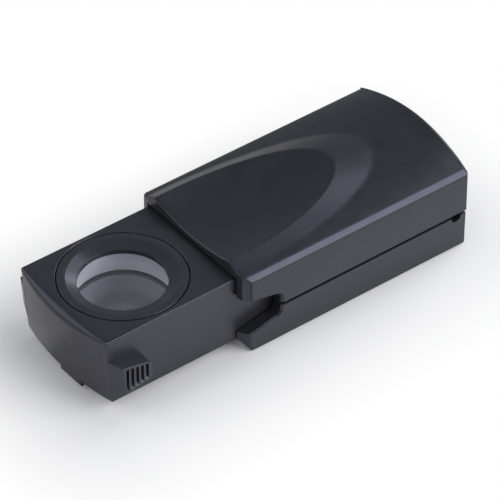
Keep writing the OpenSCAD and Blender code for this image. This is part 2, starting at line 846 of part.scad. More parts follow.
case_top();
case_bottom();
drawer_body();
eyepiece_ring();
upper_lens();
lens_spacer();
lower_lens();
light_barrel();
bottom_cover();
cover_screws();
led();
anode_lead();
cathode_lead();
positive_contact();
negative_contact();
switch_leaf();
battery_spring();
button_cell_1();
button_cell_2();
button_cell_3();
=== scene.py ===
"""Looks of a pocket pull-out loupe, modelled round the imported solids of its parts."""

import math

import bmesh
import bpy
from bpy.props import FloatProperty, FloatVectorProperty, IntProperty, PointerProperty
from mathutils import Matrix, Vector


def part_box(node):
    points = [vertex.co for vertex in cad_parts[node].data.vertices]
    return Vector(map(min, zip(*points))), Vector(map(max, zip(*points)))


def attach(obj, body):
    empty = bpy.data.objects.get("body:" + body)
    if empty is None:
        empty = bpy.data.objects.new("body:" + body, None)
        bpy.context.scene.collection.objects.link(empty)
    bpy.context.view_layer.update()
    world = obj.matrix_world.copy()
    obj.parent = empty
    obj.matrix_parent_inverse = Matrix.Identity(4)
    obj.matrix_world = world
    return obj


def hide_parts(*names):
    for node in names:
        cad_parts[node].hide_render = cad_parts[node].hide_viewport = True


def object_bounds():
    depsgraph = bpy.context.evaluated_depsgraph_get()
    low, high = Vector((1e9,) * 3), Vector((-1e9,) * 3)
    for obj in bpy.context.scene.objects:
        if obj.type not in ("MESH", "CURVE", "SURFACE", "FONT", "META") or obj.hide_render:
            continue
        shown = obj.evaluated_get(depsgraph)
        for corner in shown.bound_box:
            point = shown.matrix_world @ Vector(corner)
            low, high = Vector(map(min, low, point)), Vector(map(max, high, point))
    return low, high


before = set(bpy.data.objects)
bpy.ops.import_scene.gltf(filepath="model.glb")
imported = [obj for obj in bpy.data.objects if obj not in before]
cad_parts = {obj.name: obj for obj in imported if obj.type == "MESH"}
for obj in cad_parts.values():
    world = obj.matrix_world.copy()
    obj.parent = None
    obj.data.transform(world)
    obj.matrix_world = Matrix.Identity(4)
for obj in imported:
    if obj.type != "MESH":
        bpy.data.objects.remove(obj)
CAD_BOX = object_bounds()

bl_info = {
    "name": "Pocket Loupe",
    "version": (1, 0, 0),
    "blender": (4, 5, 0),
    "location": "View3D > Sidebar > Loupe",
    "description": "Models a pull-out pocket loupe with its case, drawer, lenses and lamp",
    "category": "Object",
}

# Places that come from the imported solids
UPPER_LOW, UPPER_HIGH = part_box("case_top")
LOWER_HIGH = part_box("case_bottom")[1]
DRAWER_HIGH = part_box("drawer_body")[1]
RING_LOW, RING_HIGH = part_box("eyepiece_ring")
UPPER_GLASS_LOW, UPPER_GLASS_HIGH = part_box("upper_lens")
LOWER_GLASS_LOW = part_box("lower_lens")[0]
SPACER_LOW, SPACER_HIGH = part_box("lens_spacer")
BARREL_LOW, BARREL_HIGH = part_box("light_barrel")
COVER_LOW, COVER_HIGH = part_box("bottom_cover")
SCREWS_LOW, SCREWS_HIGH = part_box("cover_screws")
COIL_LOW, COIL_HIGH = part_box("battery_spring")

FRONT, REAR = UPPER_LOW.x, UPPER_HIGH.x
CASE_HALF, LOWER_HALF, GRIP_HALF = UPPER_HIGH.y, LOWER_HIGH.y, DRAWER_HIGH.y
SEAM = LOWER_HIGH.z
DRAWER_TOP, DRAWER_FLOOR = RING_HIGH.z, SCREWS_LOW.z
DRAWER_REAR = DRAWER_HIGH.x
LENS_X = (RING_LOW.x + RING_HIGH.x) / 2
LENS_RADIUS = (UPPER_GLASS_HIGH.y - UPPER_GLASS_LOW.y) / 2

QUARTER_TURN, FULL_TURN = math.pi / 2, 2 * math.pi
TINY = 1e-7        # vertices this close are one
SLIVER = 7e-6      # faces thinner than this are closed up
OVER = 1e-3        # how far a cutter reaches past the mesh it cuts
ROUND_STEPS = 3    # pieces in a rounded corner
TRIM_SHARE = 0.48  # most that a rounded corner takes of a line
FLAT = math.radians(1.0)    # faces that meet flatter than this are merged
SHARP = math.radians(25.0)  # edges sharper than this can be rounded
CRISP = math.radians(32.0)  # edges sharper than this are shaded sharp
LENS_STEPS, ROD_STEPS = 128, 48


def mm(value):
    """Millimetres as metres."""
    return value * 0.001


def length(name, description, value):
    """Length property with its default in millimetres."""
    return FloatProperty(
        name=name, description=description, default=mm(value), unit="LENGTH", precision=5)


def tint(name, description, value):
    """Colour property."""
    return FloatVectorProperty(
        name=name, description=description, default=value, subtype="COLOR", size=3, min=0.0, max=1.0)


class LoupeCaseSizes(bpy.types.PropertyGroup):
    """Sizes of the two-shell case."""
    shoulder_half: length("Shoulder half width", "Half width of the crowned top at the shoulders", 15.42)
    shoulder_height: length("Shoulder height", "Height of the shoulder line", 18.2)
    shoulder_bevel: length("Shoulder bevel", "Width and drop of the bevel along the shoulders", 1.05)
    crown_rise: length("Crown rise", "Rise of the crowned top between the shoulders", 2.2)
    crown_climb: length("Crown climb", "Rise of the crowned top's middle towards the rear", 0.85)
    climb_length: length("Climb length", "Distance from the rear over which the crowned top climbs", 22.0)
    corner_length: length("Corner length", "Length of the slanted front corners", 1.6)
    corner_width: length("Corner width", "Width of the slanted front corners", 3.1)
    break_length: length("Break length", "Length of the front corner's inner facet", 0.35)
    break_width: length("Break width", "Width of the front corner's inner facet", 1.8)
    rear_bow: length("Rear bow", "Backward bow of the rear face", 1.05)
    cavity_half: length("Cavity half width", "Half width of the space for the drawer", 13.65)
    cavity_top: length("Cavity top", "Height of the space for the drawer", 17.2)
    cavity_end: length("Cavity end", "Distance from the front face to the end of that space", 49.05)
    floor: length("Floor", "Thickness of the floor", 1.6)
    side_draft: length("Side draft", "Inward lean of the lower walls", 0.1)
    base_bevel: length("Base bevel", "Bevel round the base", 0.35)
    front_foot: length("Front foot", "Depth of the slope along the foot of the front face", 2.0)
    front_foot_height: length("Front foot height", "Height of that slope", 3.1)
    reveal: length("Seam reveal", "Height of the dark line between the shells", 0.72)
    lip: length("Lip", "Radius of the upper edge of the front face", 0.55)
    side_lip: length("Side lip", "Radius of the side edges of the front face", 0.35)
    edge: length("Edge", "Rounding of the moulded edges", 0.3)
    rear_edge: length("Rear edge", "Rounding of the upper edge of the rear face", 0.8)
    eye_radius: length("Eye radius", "Radius of the lanyard groove", 1.2)
    eye_setback: length("Eye setback", "Distance from the rear corner to the lanyard groove", 2.5)
    eye_depth: length("Eye depth", "Depth of the lanyard groove below the seam", 1.9)
    eye_web: length("Eye web", "Width of the web that a lanyard loops round", 3.6)


class LoupeDishSizes(bpy.types.PropertyGroup):
    """Sizes of the thumb dish and the mound that carries it."""
    ridge_length: length("Ridge length", "Distance from the front face to the tip of the ridge", 30.44)
    ridge_start: length("Ridge start", "Distance from the front face to the ridge's curve", 2.4)
    ridge_half: length("Ridge half width", "Half width of the ridge at the front", 7.78)
    ridge_rise: length("Ridge rise", "Height of the ridge above the shoulders at the front", 3.97)
    ridge_climb: length("Ridge climb", "Rise of the ridge from front to tip", -0.24)
    ridge_blend: length("Ridge blend", "Softness of the ridge line", 0.16)
    mound_length: length("Mound length", "Distance from the front face to the mound's foot", 68.8)
    mound_half: length("Mound half width", "Half width of the mound's foot", 16.45)
    mound_blend: length("Mound blend", "Softness of the line round the mound", 0.14)
    dish_low: length("Dish low line", "Distance from the front face to the lowest line of the dish", 4.4)
    dish_depth: length("Dish depth", "Depth of the lowest line below the crown", 1.985)
    dish_cross: length("Dish cross radius", "Radius of the dish across the case", 39.3)
    dish_long: length("Dish long radius", "Radius of the dish along the case", 122.0)


class LoupeDrawerSizes(bpy.types.PropertyGroup):
    """Sizes of the drawer and its side grips."""
    half: length("Half width", "Half width of the drawer", 13.35)
    corner: length("Corner line", "Distance from the lens axis to the top front corner line", 13.5)
    front_bow: length("Front bow", "Forward bow of the front face", 1.6)
    front_lean: length("Front lean", "How far the front face leans back at its foot", 1.1)
    front_round: length("Front round", "Setback of the soft top front edge behind the corner line", 0.5)
    edge: length("Edge", "Rounding along the sides", 0.3)
    corner_edge: length("Corner edge", "Rounding of the front corners", 0.2)
    recess_radius: length("Recess radius", "Radius of the recess for the eyepiece ring", 12.5)
    bore_radius: length("Bore radius", "Radius of the bore for the lenses", 10.5)
    well_radius: length("Well radius", "Radius of the light well", 9.0)
    liner: length("Well liner", "Thickness of the barrel's liner in the plate below", 0.08)
    flange: length("Flange depth", "Depth of the ring's recess", 1.2)
    wall: length("Wall", "Thickness of the side and rear walls", 1.5)
    bay: length("Bay", "Distance from the lens axis to the cell bay", 12.65)
    grip_length: length("Grip length", "Length of each side grip", 8.2)
    grip_front: length("Grip front", "Half height of a grip at its front", 3.75)
    grip_rear: length("Grip rear", "Half height of a grip at its rear", 1.9)
    grip_slant: length("Grip slant", "Length of the slant at a grip's front", 1.9)
    grip_nose: length("Grip nose", "Radius of the grip's rear corners", 1.2)
    grip_level: length("Grip level", "Height of the grip's middle", 8.45)
    scoop_gap: length("Scoop gap", "Gap between a grip and the scoop that takes it", 0.6)
    groove_count: IntProperty(name="Grooves", description="Grooves in each grip", default=5, min=1, max=8)
    groove_pitch: length("Groove pitch", "Distance from one groove to the next", 1.1)
    groove_width: length("Groove width", "Width of a groove", 0.6)
    groove_depth: length("Groove depth", "Depth of a groove", 0.8)


class LoupeLensSizes(bpy.types.PropertyGroup):
    """Sizes of the eyepiece ring, the lenses and the light well."""
    rim: length("Lens rim", "Width of the flat rim round each lens", 1.1)
    upper_dome: length("Upper dome", "Height of each dome of the upper lens above its rim", 0.4)
    lower_dome: length("Lower dome", "Height of the lower lens's dome above its rim", 0.75)
    upper_edge: length("Upper lens edge", "Edge thickness of the upper lens", 1.7)
    lower_edge: length("Lower lens edge", "Edge thickness of the lower lens", 0.9)
    ring_lip: length("Ring lip", "How far the ring reaches in past the lens rim", 0.85)
    ring_bevel: length("Ring bevel", "Width of the ring's sloping inner face", 2.2)
    ring_bevel_depth: length("Ring bevel depth", "Depth of that face", 0.95)
    ring_wall: length("Ring inner wall", "Height of the ring's upright inner wall", 1.0)
    ring_gap: length("Ring gap", "Gap round the ring in its recess", 0.26)
    ring_skirt: length("Ring skirt", "Height of the skirt that presses on the lens", 0.8)
    ring_edge: length("Ring edge", "Rounding of the ring's edges", 0.14)


class LoupeFinish(bpy.types.PropertyGroup):
    """Colours of the parts."""
    case: tint("Case", "Moulded plastic of the case", (0.0145, 0.015, 0.0172))
    drawer: tint("Drawer", "Moulded plastic of the drawer", (0.02, 0.0205, 0.0235))
    ring: tint("Ring", "Moulded plastic of the eyepiece ring", (0.023, 0.0235, 0.0265))
    spacer: tint("Spacer", "Pale plastic of the lens spacer", (0.56, 0.56, 0.65))
    barrel: tint("Barrel", "Grey plastic of the light well", (0.33, 0.325, 0.42))
    glass: tint("Glass", "Clear plastic of the lenses", (0.985, 0.99, 0.99))
    resin: tint("Resin", "Clear resin of the lamp", (0.93, 0.95, 0.90))
    steel: tint("Steel", "Plated steel of the cells, screws and spring", (0.62, 0.63, 0.65))
    brass: tint("Brass", "Sheet brass of the contacts", (0.70, 0.52, 0.24))
    floor: tint("Floor", "Paper under the loupe", (0.92, 0.92, 0.925))


def sizes(*names):
    """Property groups of the open scene."""
    return [getattr(bpy.context.scene, "loupe_" + name) for name in names]


def lerp(start, end, share):
    """Value part of the way from start to end."""
    return start + (end - start) * share


def held(value, low, high):
    """Value kept between two limits."""
    return min(max(value, low), high)


def bend(start, corner, end, share):
    """Point on the curve that rounds a corner off."""
    return start.lerp(corner, share).lerp(corner.lerp(end, share), share)


def soften(points, setback, closed=False):
    """Line of points with its corners rounded, setback being one length or one for each corner."""
    count = len(points)
    reach = setback if isinstance(setback, (list, tuple)) else [setback] * count
    made = []
    for index, corner in enumerate(points):
        at_end = not closed and index in (0, count - 1)
        if at_end or reach[index] <= 0.0:
            made.append(corner.copy())
            continue
        before, after = points[index - 1] - corner, points[(index + 1) % count] - corner
        trim = min(reach[index], TRIM_SHARE * before.length, TRIM_SHARE * after.length)
        start = corner + before.normalized() * trim
        end = corner + after.normalized() * trim
        made += [bend(start, corner, end, step / ROUND_STEPS) for step in range(ROUND_STEPS + 1)]
    return made


def rounded(points, setback, closed=True):
    """Flat profile with its corners rounded."""
    return [tuple(point) for point in soften([Vector(point) for point in points], setback, closed)]


def blend_low(first, second, width):
    """Lower of two heights, eased over a width."""
    near = max(width - abs(first - second), 0.0)
    return min(first, second) - near * near / (4.0 * width)


def blend_high(first, second, width):
    """Higher of two heights, eased over a width."""
    return -blend_low(-first, -second, width)


def arc_radius(half_chord, rise):
    """Radius of the arc with a given half chord and rise."""
    return (half_chord ** 2 + rise ** 2) / (2 * rise)


def outward(bm, fill=False):
    """Merge doubles, fill the open loops if asked, and turn every face outwards."""
    bmesh.ops.remove_doubles(bm, verts=bm.verts, dist=TINY)
    if fill:
        bmesh.ops.holes_fill(bm, edges=[edge for edge in bm.edges if len(edge.link_faces) < 2], sides=0)
    bmesh.ops.recalc_face_normals(bm, faces=bm.faces)
    return bm


def lathe(profile, steps=LENS_STEPS, centre=(LENS_X, 0.0)):
    """Solid turned about a vertical axis, from a closed loop or a line that ends on the axis."""
    bm = bmesh.new()
    verts = [bm.verts.new((point[0], 0.0, point[1])) for point in profile]
    pairs = list(zip(verts, verts[1:]))
    if profile[0][0] > TINY:
        pairs.append((verts[-1], verts[0]))
    edges = [bm.edges.new(pair) for pair in pairs]
    bmesh.ops.spin(bm, geom=verts + edges, cent=(0, 0, 0), axis=(0, 0, 1), angle=FULL_TURN,
                   steps=steps, use_merge=True)
    bmesh.ops.translate(bm, verts=bm.verts, vec=(centre[0], centre[1], 0.0))
    return outward(bm)


def skin(rings, closed):
    """Grid laid over rings of points, with each vertex marked by its row and column."""
    bm = bmesh.new()
    row_mark = bm.verts.layers.int.new("row")
    column_mark = bm.verts.layers.int.new("column")
    count = len(rings[0])
    columns = count if closed else count - 1
    rows = len(rings) - 1
    bmesh.ops.create_grid(bm, x_segments=columns, y_segments=rows, size=1.0)
    for vert in bm.verts:
        column = round((vert.co.x + 1.0) / 2.0 * columns)
        row = round((vert.co.y + 1.0) / 2.0 * rows)
        vert[row_mark], vert[column_mark] = row, column
        vert.co = rings[row][column % count]
    if closed:
        return outward(bm, fill=True)
    bmesh.ops.remove_doubles(bm, verts=bm.verts, dist=TINY)
    return bm


def block(low, high):
    """Box between two corners."""
    bm = bmesh.new()
    low, high = Vector(low), Vector(high)
    bmesh.ops.create_cube(bm, size=1.0, matrix=Matrix.LocRotScale((low + high) / 2, None, high - low))
    return bm


def rod(start, end, radius, segments=ROD_STEPS):
    """Round bar from one point to another."""
    bm = bmesh.new()
    start, end = Vector(start), Vector(end)
    turn = (end - start).to_track_quat("Z", "Y")
    bmesh.ops.create_cone(bm, cap_ends=True, segments=segments, radius1=radius, radius2=radius,
                          depth=(end - start).length,
                          matrix=Matrix.LocRotScale((start + end) / 2, turn, None))
    return bm


def plate(outline, lift):
    """Prism from a flat outline, pushed along a vector."""
    bm = bmesh.new()
    face = bm.faces.new([bm.verts.new(point) for point in outline])
    pushed = bmesh.ops.extrude_face_region(bm, geom=[face])["geom"]
    bmesh.ops.translate(bm, verts=[item for item in pushed if isinstance(item, bmesh.types.BMVert)],
                        vec=lift)
    return outward(bm)


def mirrored(bm):
    """Copy of a mesh on the other side of the middle plane."""
    other = bm.copy()
    bmesh.ops.scale(other, vec=(1.0, -1.0, 1.0), verts=other.verts)
    bmesh.ops.reverse_faces(other, faces=other.faces)
    return other


def mesh_of(bm, name):
    """Mesh data made from an edit mesh, which is used up."""
    mesh = bpy.data.meshes.new(name)
    bm.to_mesh(mesh)
    bm.free()
    return mesh


def linked(name, data):
    """Object with its data, put into the scene."""
    thing = bpy.data.objects.new(name, data)
    bpy.context.scene.collection.objects.link(thing)
    return thing


def combine(bm, other, operation):
    """One mesh cut by another or joined with it. Both are used up."""
    works = [linked("work", mesh_of(part, "work")) for part in (bm, other)]
    joint = works[0].modifiers.new("combine", "BOOLEAN")
    joint.object = works[1]
    joint.operation = operation
    joint.solver = "EXACT"
    graph = bpy.context.evaluated_depsgraph_get()
    result = bpy.data.meshes.new_from_object(works[0].evaluated_get(graph), depsgraph=graph)
    made = bmesh.new()
    made.from_mesh(result)
    for mesh in [result] + [work.data for work in works]:
        bpy.data.meshes.remove(mesh)
    return made


def cut(bm, *cutters):
    """Mesh with each cutter taken away from it in turn."""
    for cutter in cutters:
        bm = combine(bm, cutter, "DIFFERENCE")
    return bm


def ease(bm, width, segments=2, keep=None):
    """Round the sharp edges, all of them or those that keep picks."""
    sharp = [edge for edge in bm.edges if edge.is_manifold and edge.calc_face_angle(0.0) > SHARP
             and (keep is None or keep(edge))]
    bmesh.ops.bevel(bm, geom=sharp, offset=width, offset_type="OFFSET", affect="EDGES", segments=segments,
                    profile=0.5, material=-1, clamp_overlap=True)
    return bm


def solid_copy(node):
    """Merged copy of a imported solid's mesh."""
    bm = bmesh.new()
    bm.from_mesh(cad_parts[node].data)
    bmesh.ops.remove_doubles(bm, verts=bm.verts, dist=10 * TINY)
    bmesh.ops.dissolve_limit(bm, angle_limit=FLAT, verts=bm.verts, edges=bm.edges)
    return bm


def place(name, bm, look, body, slot, *nodes):
    """Object made from a mesh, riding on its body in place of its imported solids."""
    bmesh.ops.triangulate(bm, faces=[face for face in bm.faces if len(face.verts) > 4])
    bmesh.ops.dissolve_degenerate(bm, edges=bm.edges, dist=SLIVER)
    mesh = mesh_of(bm, name)
    mesh.materials.append(material_of(look))
    mesh.shade_smooth()
    mesh.set_sharp_from_angle(angle=CRISP)
    piece = linked(name, mesh)
    piece.modifiers.new("Even shading", "WEIGHTED_NORMAL").keep_sharp = True
    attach(piece, body)
    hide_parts(*nodes)
    return piece


class CaseForm:
    """Outlines and heights of the case, worked out from its sizes."""
    ARC_STEPS, DISH_STEPS, CROWN_STEPS, REAR_STEPS, SEARCH_STEPS = 120, 16, 8, 24, 40
    # Turns of the ridge's arc that meet the ends of the case's sides and of its rear
    SIDE_TURN, REAR_TURN = math.radians(45), math.radians(55.5)
    # Places of the columns in front of the arc
    LEAD = (0.0, 0.5)
    # Heights in a blend and shares of the flank that get a row of points
    BLEND = (1.0, 0.6, 0.3, 0.0, -0.3, -0.6, -1.0)
    FLANK = (0.25, 0.5, 0.75)
    # How far along the dish's middle line each column starts
    SPINE = 0.55
    # Roundings of the side's corners and its run past them, in edge radii
    ROUNDINGS = (0.0, 1.2, 1.1, 0.4, 0.0)
    RUN = 3

    def __init__(self, case, dish):
        self.case, self.dish = case, dish
        self.crown_top = case.shoulder_height + case.crown_rise
        self.rear_radius = arc_radius(CASE_HALF, case.rear_bow)
        self.arc_start = FRONT + dish.ridge_start
        self.rim_start = FRONT + 2 * dish.ridge_start
        self.profile = self.side_profile()
        turns = [math.pi * step / self.ARC_STEPS for step in range(self.ARC_STEPS + 1)]
        self.samples = ([(0.0, share) for share in self.LEAD] + [(turn, 1.0) for turn in turns]
                        + [(math.pi, share) for share in reversed(self.LEAD)])

    def front(self, y):
        """Front of the case at a distance from the middle."""
        case = self.case
        slant = max(abs(y) - (CASE_HALF - case.corner_width), 0.0)
        inner = min(slant, case.break_width)
        steep = (case.corner_length - case.break_length) / (case.corner_width - case.break_width)
        return FRONT + inner * case.break_length / case.break_width + (slant - inner) * steep

    def rear(self, y):
        """Rear of the case at a distance from the middle."""
        return REAR - self.rear_radius + math.sqrt(self.rear_radius ** 2 - y * y)

    def crown(self, x, y):
        """Height of the crowned top, which climbs a little towards the rear."""
        case = self.case
        start = REAR - case.climb_length
        rise = case.crown_rise + case.crown_climb * (max(x - start, 0.0) / case.climb_length) ** 2
        radius = arc_radius(case.shoulder_half, rise)
        return case.shoulder_height + rise - radius + math.sqrt(radius ** 2 - y * y)

    def hollow(self, x, y):
        """Height of the dish."""
        across, along = self.dish.dish_cross, self.dish.dish_long
        sag = across - math.sqrt(across ** 2 - y * y)
        reach = along - sag
        step = x - FRONT - self.dish.dish_low
        return self.crown_top - self.dish.dish_depth + along - math.sqrt(reach ** 2 - step ** 2)

    def mound(self, sample, share):
        """Point of the mound's flank, from its foot at share 0 to the ridge at share 1."""
        turn, along = sample
        dish = self.dish
        start = dish.ridge_start
        y = lerp(dish.mound_half, dish.ridge_half, share) * math.cos(turn)
        if along < 1.0:
            x = lerp(self.front(y) + self.case.lip, self.arc_start, along)
            run = x - FRONT
        else:
            reach = lerp(dish.mound_length, dish.ridge_length, share) - start
            x = self.arc_start + reach * math.sin(turn)
            run = start + (dish.ridge_length - start) * math.sin(turn)
        ridge = self.case.shoulder_height + dish.ridge_rise + dish.ridge_climb * run / dish.ridge_length
        return Vector((x, y, lerp(self.case.cavity_top, ridge, share)))

    def share_where(self, sample, surface, target):
        """Share of the flank at which it stands a target height over another surface."""
        low, high = 0.0, 1.0
        for _ in range(self.SEARCH_STEPS):
            middle = (low + high) / 2
            point = self.mound(sample, middle)
            if point.z - surface(point.x, point.y) < target:
                low = middle
            else:
                high = middle
        return low

    def rim(self, sample):
        """Point on the shoulder outline, and how far it belongs to the sides."""
        turn, along = sample
        side = 1.0 if turn <= QUARTER_TURN else -1.0
        turn = min(turn, math.pi - turn)
        half, radius = self.case.shoulder_half, self.case.edge
        rear = self.rear(half - radius) - radius
        if along < 1.0:
            start = self.front(half) + self.case.side_lip
            return Vector((lerp(start, self.rim_start, along), side * half)), 1.0
        if turn <= self.SIDE_TURN:
            share = math.sin(turn) / math.sin(self.SIDE_TURN)
            return Vector((lerp(self.rim_start, rear, share), side * half)), 1.0
        if turn < self.REAR_TURN:
            angle = (turn - self.SIDE_TURN) / (self.REAR_TURN - self.SIDE_TURN) * QUARTER_TURN
            y = side * (half - radius + radius * math.cos(angle))
            return Vector((rear + radius * math.sin(angle), y)), math.cos(angle)
        y = side * (half - radius) * (QUARTER_TURN - turn) / (QUARTER_TURN - self.REAR_TURN)
        return Vector((self.rear(y), y)), 0.0

    def top_rings(self):
        """Rings of points from the middle of the dish out to the shoulder."""
        ridge, foot = self.dish.ridge_blend, self.dish.mound_blend

        def on(surface, point):
            return Vector((point.x, point.y, surface(point.x, point.y)))

        def settled(point):
            low = blend_high(point.z, self.crown(point.x, point.y), foot)
            return Vector((point.x, point.y, blend_low(low, self.hollow(point.x, point.y), ridge)))

        columns = []
        for sample in self.samples:
            marks = [self.share_where(sample, self.hollow, step * ridge) for step in self.BLEND]
            feet = [self.share_where(sample, self.crown, step * foot) for step in self.BLEND]
            flank = [lerp(marks[-1], feet[0], share) for share in self.FLANK]
            band = [settled(self.mound(sample, share)) for share in marks + flank + feet]
            spine = self.SPINE if sample[1] == 1.0 else 1.0
            axis = Vector((self.arc_start + (band[0].x - self.arc_start) * spine, 0.0, 0.0))
            start = self.edge_point(sample, *self.rim(sample), 0)
            dish = [on(self.hollow, axis.lerp(band[0], step / self.DISH_STEPS))
                    for step in range(self.DISH_STEPS)]
            crown = [on(self.crown, band[-1].lerp(start, step / self.CROWN_STEPS))
                     for step in range(1, self.CROWN_STEPS)]
            columns.append(dish + band + crown)
        return list(zip(*columns))

    def side_profile(self):
        """Line down the side as steps out from the shoulder and heights, rounded at its corners."""
        case = self.case
        bevel, run = case.shoulder_bevel, self.RUN * case.edge
        out = CASE_HALF - case.shoulder_half
        line = [(-run, self.crown(FRONT, case.shoulder_half - run)), (0.0, case.shoulder_height),
                (bevel, case.shoulder_height - bevel), (out, SEAM), (out - run, SEAM)]
        return rounded(line, [share * case.edge for share in self.ROUNDINGS], closed=False)[1:-1]

    def edge_point(self, sample, edge, sideways, row):
        """Point of the shoulder, the bevel and the wall below a point on the shoulder outline."""
        profile = self.profile
        step, level = profile[row]
        corner_rows = len(profile) - ROUND_STEPS - 1
        y = edge.y * (1.0 + step / self.case.shoulder_half)
        if sample[1] < 1.0:
            x = lerp(self.front(y) + self.case.side_lip, self.rim_start, sample[1])
            return Vector((x, y, level))
        if sideways == 1.0:
            return Vector((edge.x, y, level))
        radius = self.case.rear_edge
        if row < corner_rows:
            angle = QUARTER_TURN * row / (corner_rows - 1)
            back, drop = radius * (1 - math.sin(angle)), radius * (1 - math.cos(angle))
            rear_level = self.crown(edge.x, min(abs(edge.y), self.case.shoulder_half)) - drop
        else:
            back, rear_level = profile[corner_rows][0] - step, level
        x = edge.x + self.rear(y) - self.rear(edge.y) - (1.0 - sideways) * back
        return Vector((x, y, lerp(rear_level, level, sideways)))

    def edge_rings(self):
        """Rings of points from the shoulder down to the seam."""
        rims = [(sample, *self.rim(sample)) for sample in self.samples]
        return [tuple(self.edge_point(*rim, row) for rim in rims) for row in range(len(self.profile))]

    def plan(self, half, level, front_gap, inset, rear_gap):
        """Closed outline of the lower shell at one level."""
        case, count = self.case, self.REAR_STEPS
        slant = Vector((-case.corner_width, case.corner_length)).normalized()
        start = LOWER_HALF - case.corner_width
        rounding = case.edge
        side_x = max(FRONT + (slant.y * (half - start) + inset) / -slant.x, FRONT + front_gap + rounding)
        front_y = min(start + (-slant.x * front_gap - inset) / slant.y, half - rounding)
        rear = [half * (1 - 2 * step / count) for step in range(count + 1)]
        points = [(FRONT + front_gap, -front_y), (FRONT + front_gap, front_y), (side_x, half)]
        points += [(self.rear(y) - rear_gap, y) for y in rear] + [(side_x, -half)]
        reach = [rounding] * 4 + [0.0] * (count - 1) + [rounding] * 2
        return [Vector((*point, level)) for point in rounded(points, reach)]


def tongue(drawer, front, gap, y, x, steps=10):
    """Outline of a grip, grown by a gap, as points in a plane along the case."""
    slope = math.atan((drawer.grip_front - drawer.grip_rear) / drawer.grip_length)
    edge = drawer.grip_front + gap / math.cos(slope)
    nose = drawer.grip_nose + gap
    nose_x = drawer.grip_length - drawer.grip_nose
    nose_z = edge - nose_x * math.tan(slope) - nose / math.cos(slope)
    upper = [(front, edge - front * math.tan(slope))]
    for step in range(steps + 1):
        turn = (QUARTER_TURN - slope) * (1 - step / steps)
        upper.append((nose_x + nose * math.cos(turn), nose_z + nose * math.sin(turn)))
    points = upper + [(along, -height) for along, height in reversed(upper)]
    return [Vector((x + along, y, drawer.grip_level + height)) for along, height in points]


def scooped(bm, case, drawer):
    """Shell with a scoop cut from each side, flared at the outer wall."""
    flare = case.edge
    levels = [(case.cavity_half - OVER, 0.0), (CASE_HALF - 2 * flare, 0.0),
              (CASE_HALF + OVER, OVER + flare)]
    rings = [tongue(drawer, -2 * OVER, drawer.scoop_gap + grow, y, FRONT) for y, grow in levels]
    cutter = skin(rings, True)
    return cut(bm, cutter, mirrored(cutter))


def wire(tree, node, inputs):
    """Fill a node's inputs with values or link them to sockets."""
    for key, value in inputs.items():
        if isinstance(value, bpy.types.NodeSocket):
            tree.links.new(value, node.inputs[key])
        else:
            node.inputs[key].default_value = value
    return node


def add(tree, kind, inputs=None, **settings):
    """Node with its settings and inputs."""
    node = tree.nodes.new(kind)
    for key, value in settings.items():
        setattr(node, key, value)
    return wire(tree, node, inputs or {})


def maths(tree, operation, first, second):
    """Sum, product or other result of two values."""
    return add(tree, "ShaderNodeMath", {0: first, 1: second}, operation=operation).outputs[0]


def spread(tree, value, low, high, to_low=0.0, to_high=1.0):
    """Value moved from one range to another and held inside it."""
    limits = {"From Min": low, "From Max": high, "To Min": to_low, "To Max": to_high}
    return add(tree, "ShaderNodeMapRange", {"Value": value, **limits}, clamp=True).outputs["Result"]


def noise(tree, position, scale, detail):
    """Noise of so many cells to the metre."""
    inputs = {"Vector": position, "Scale": scale, "Detail": detail}
    return add(tree, "ShaderNodeTexNoise", inputs).outputs["Fac"]


def bump(tree, height, strength, distance):
    """Normal of a surface with a fine relief."""
    inputs = {"Height": height, "Strength": strength, "Distance": distance}
    return add(tree, "ShaderNodeBump", inputs).outputs["Normal"]


def moulded_grain(tree, inputs):
    """Fine sparked grain of a mould and the slow drift of its gloss."""
    drift_scale, drift_range = 0.03, (0.3, 0.7)
    slow = maths(tree, "MULTIPLY", inputs["Cells"], drift_scale)
    return {"Height": noise(tree, inputs["Position"], inputs["Cells"], 3.0),
            "Drift": spread(tree, noise(tree, inputs["Position"], slow, 2.0), *drift_range)}


def handling_marks(tree, inputs):
    """Smudges that fingers leave."""
    cells, smudge_range = 160.0, (0.5, 0.72)
    return {"Smudge": spread(tree, noise(tree, inputs["Position"], cells, 4.0), *smudge_range)}


def edge_polish(tree, inputs):
    """Mask of sharp edges, from the sharpness of a surface, for their rubbed wear and their painted
    highlight.
    """
    edge_range = (0.51, 0.6)
    return {"Rubbed": spread(tree, inputs["Pointiness"], *edge_range)}


def effect(tree, fill, inputs):
    """Outputs of a shared effect's node, whose group is named after the function that fills it."""
    name = fill.__name__.replace("_", " ").capitalize()
    group = bpy.data.node_groups.get(name)
    if group is None:
        group = bpy.data.node_groups.new(name, "ShaderNodeTree")
        for label in inputs:
            kind = "NodeSocketVector" if label == "Position" else "NodeSocketFloat"
            group.interface.new_socket(label, in_out="INPUT", socket_type=kind)
        results = fill(group, group.nodes.new("NodeGroupInput").outputs)
        for label in results:
            group.interface.new_socket(label, in_out="OUTPUT", socket_type="NodeSocketFloat")
        add(group, "NodeGroupOutput", results)
    return add(tree, "ShaderNodeGroup", inputs, node_tree=group).outputs


def mix_colour(tree, share, colour, lift):
    """Colour between a fixed one and a lighter or darker shade of it."""
    shade = [min(channel * lift, 1.0) for channel in colour]
    inputs = {"Factor": share, "A": (*colour, 1.0), "B": (*shade, 1.0)}
    return add(tree, "ShaderNodeMix", inputs, data_type="RGBA").outputs["Result"]


def open_material(name):
    """New material with its tree, shader and object position."""
    material = bpy.data.materials.new(name)
    material.use_nodes = True
    tree = material.node_tree
    tree.nodes.clear()
    shader = add(tree, "ShaderNodeBsdfPrincipled")
    add(tree, "ShaderNodeOutputMaterial", {"Surface": shader.outputs["BSDF"]})
    return material, tree, shader, add(tree, "ShaderNodeTexCoord").outputs["Object"]


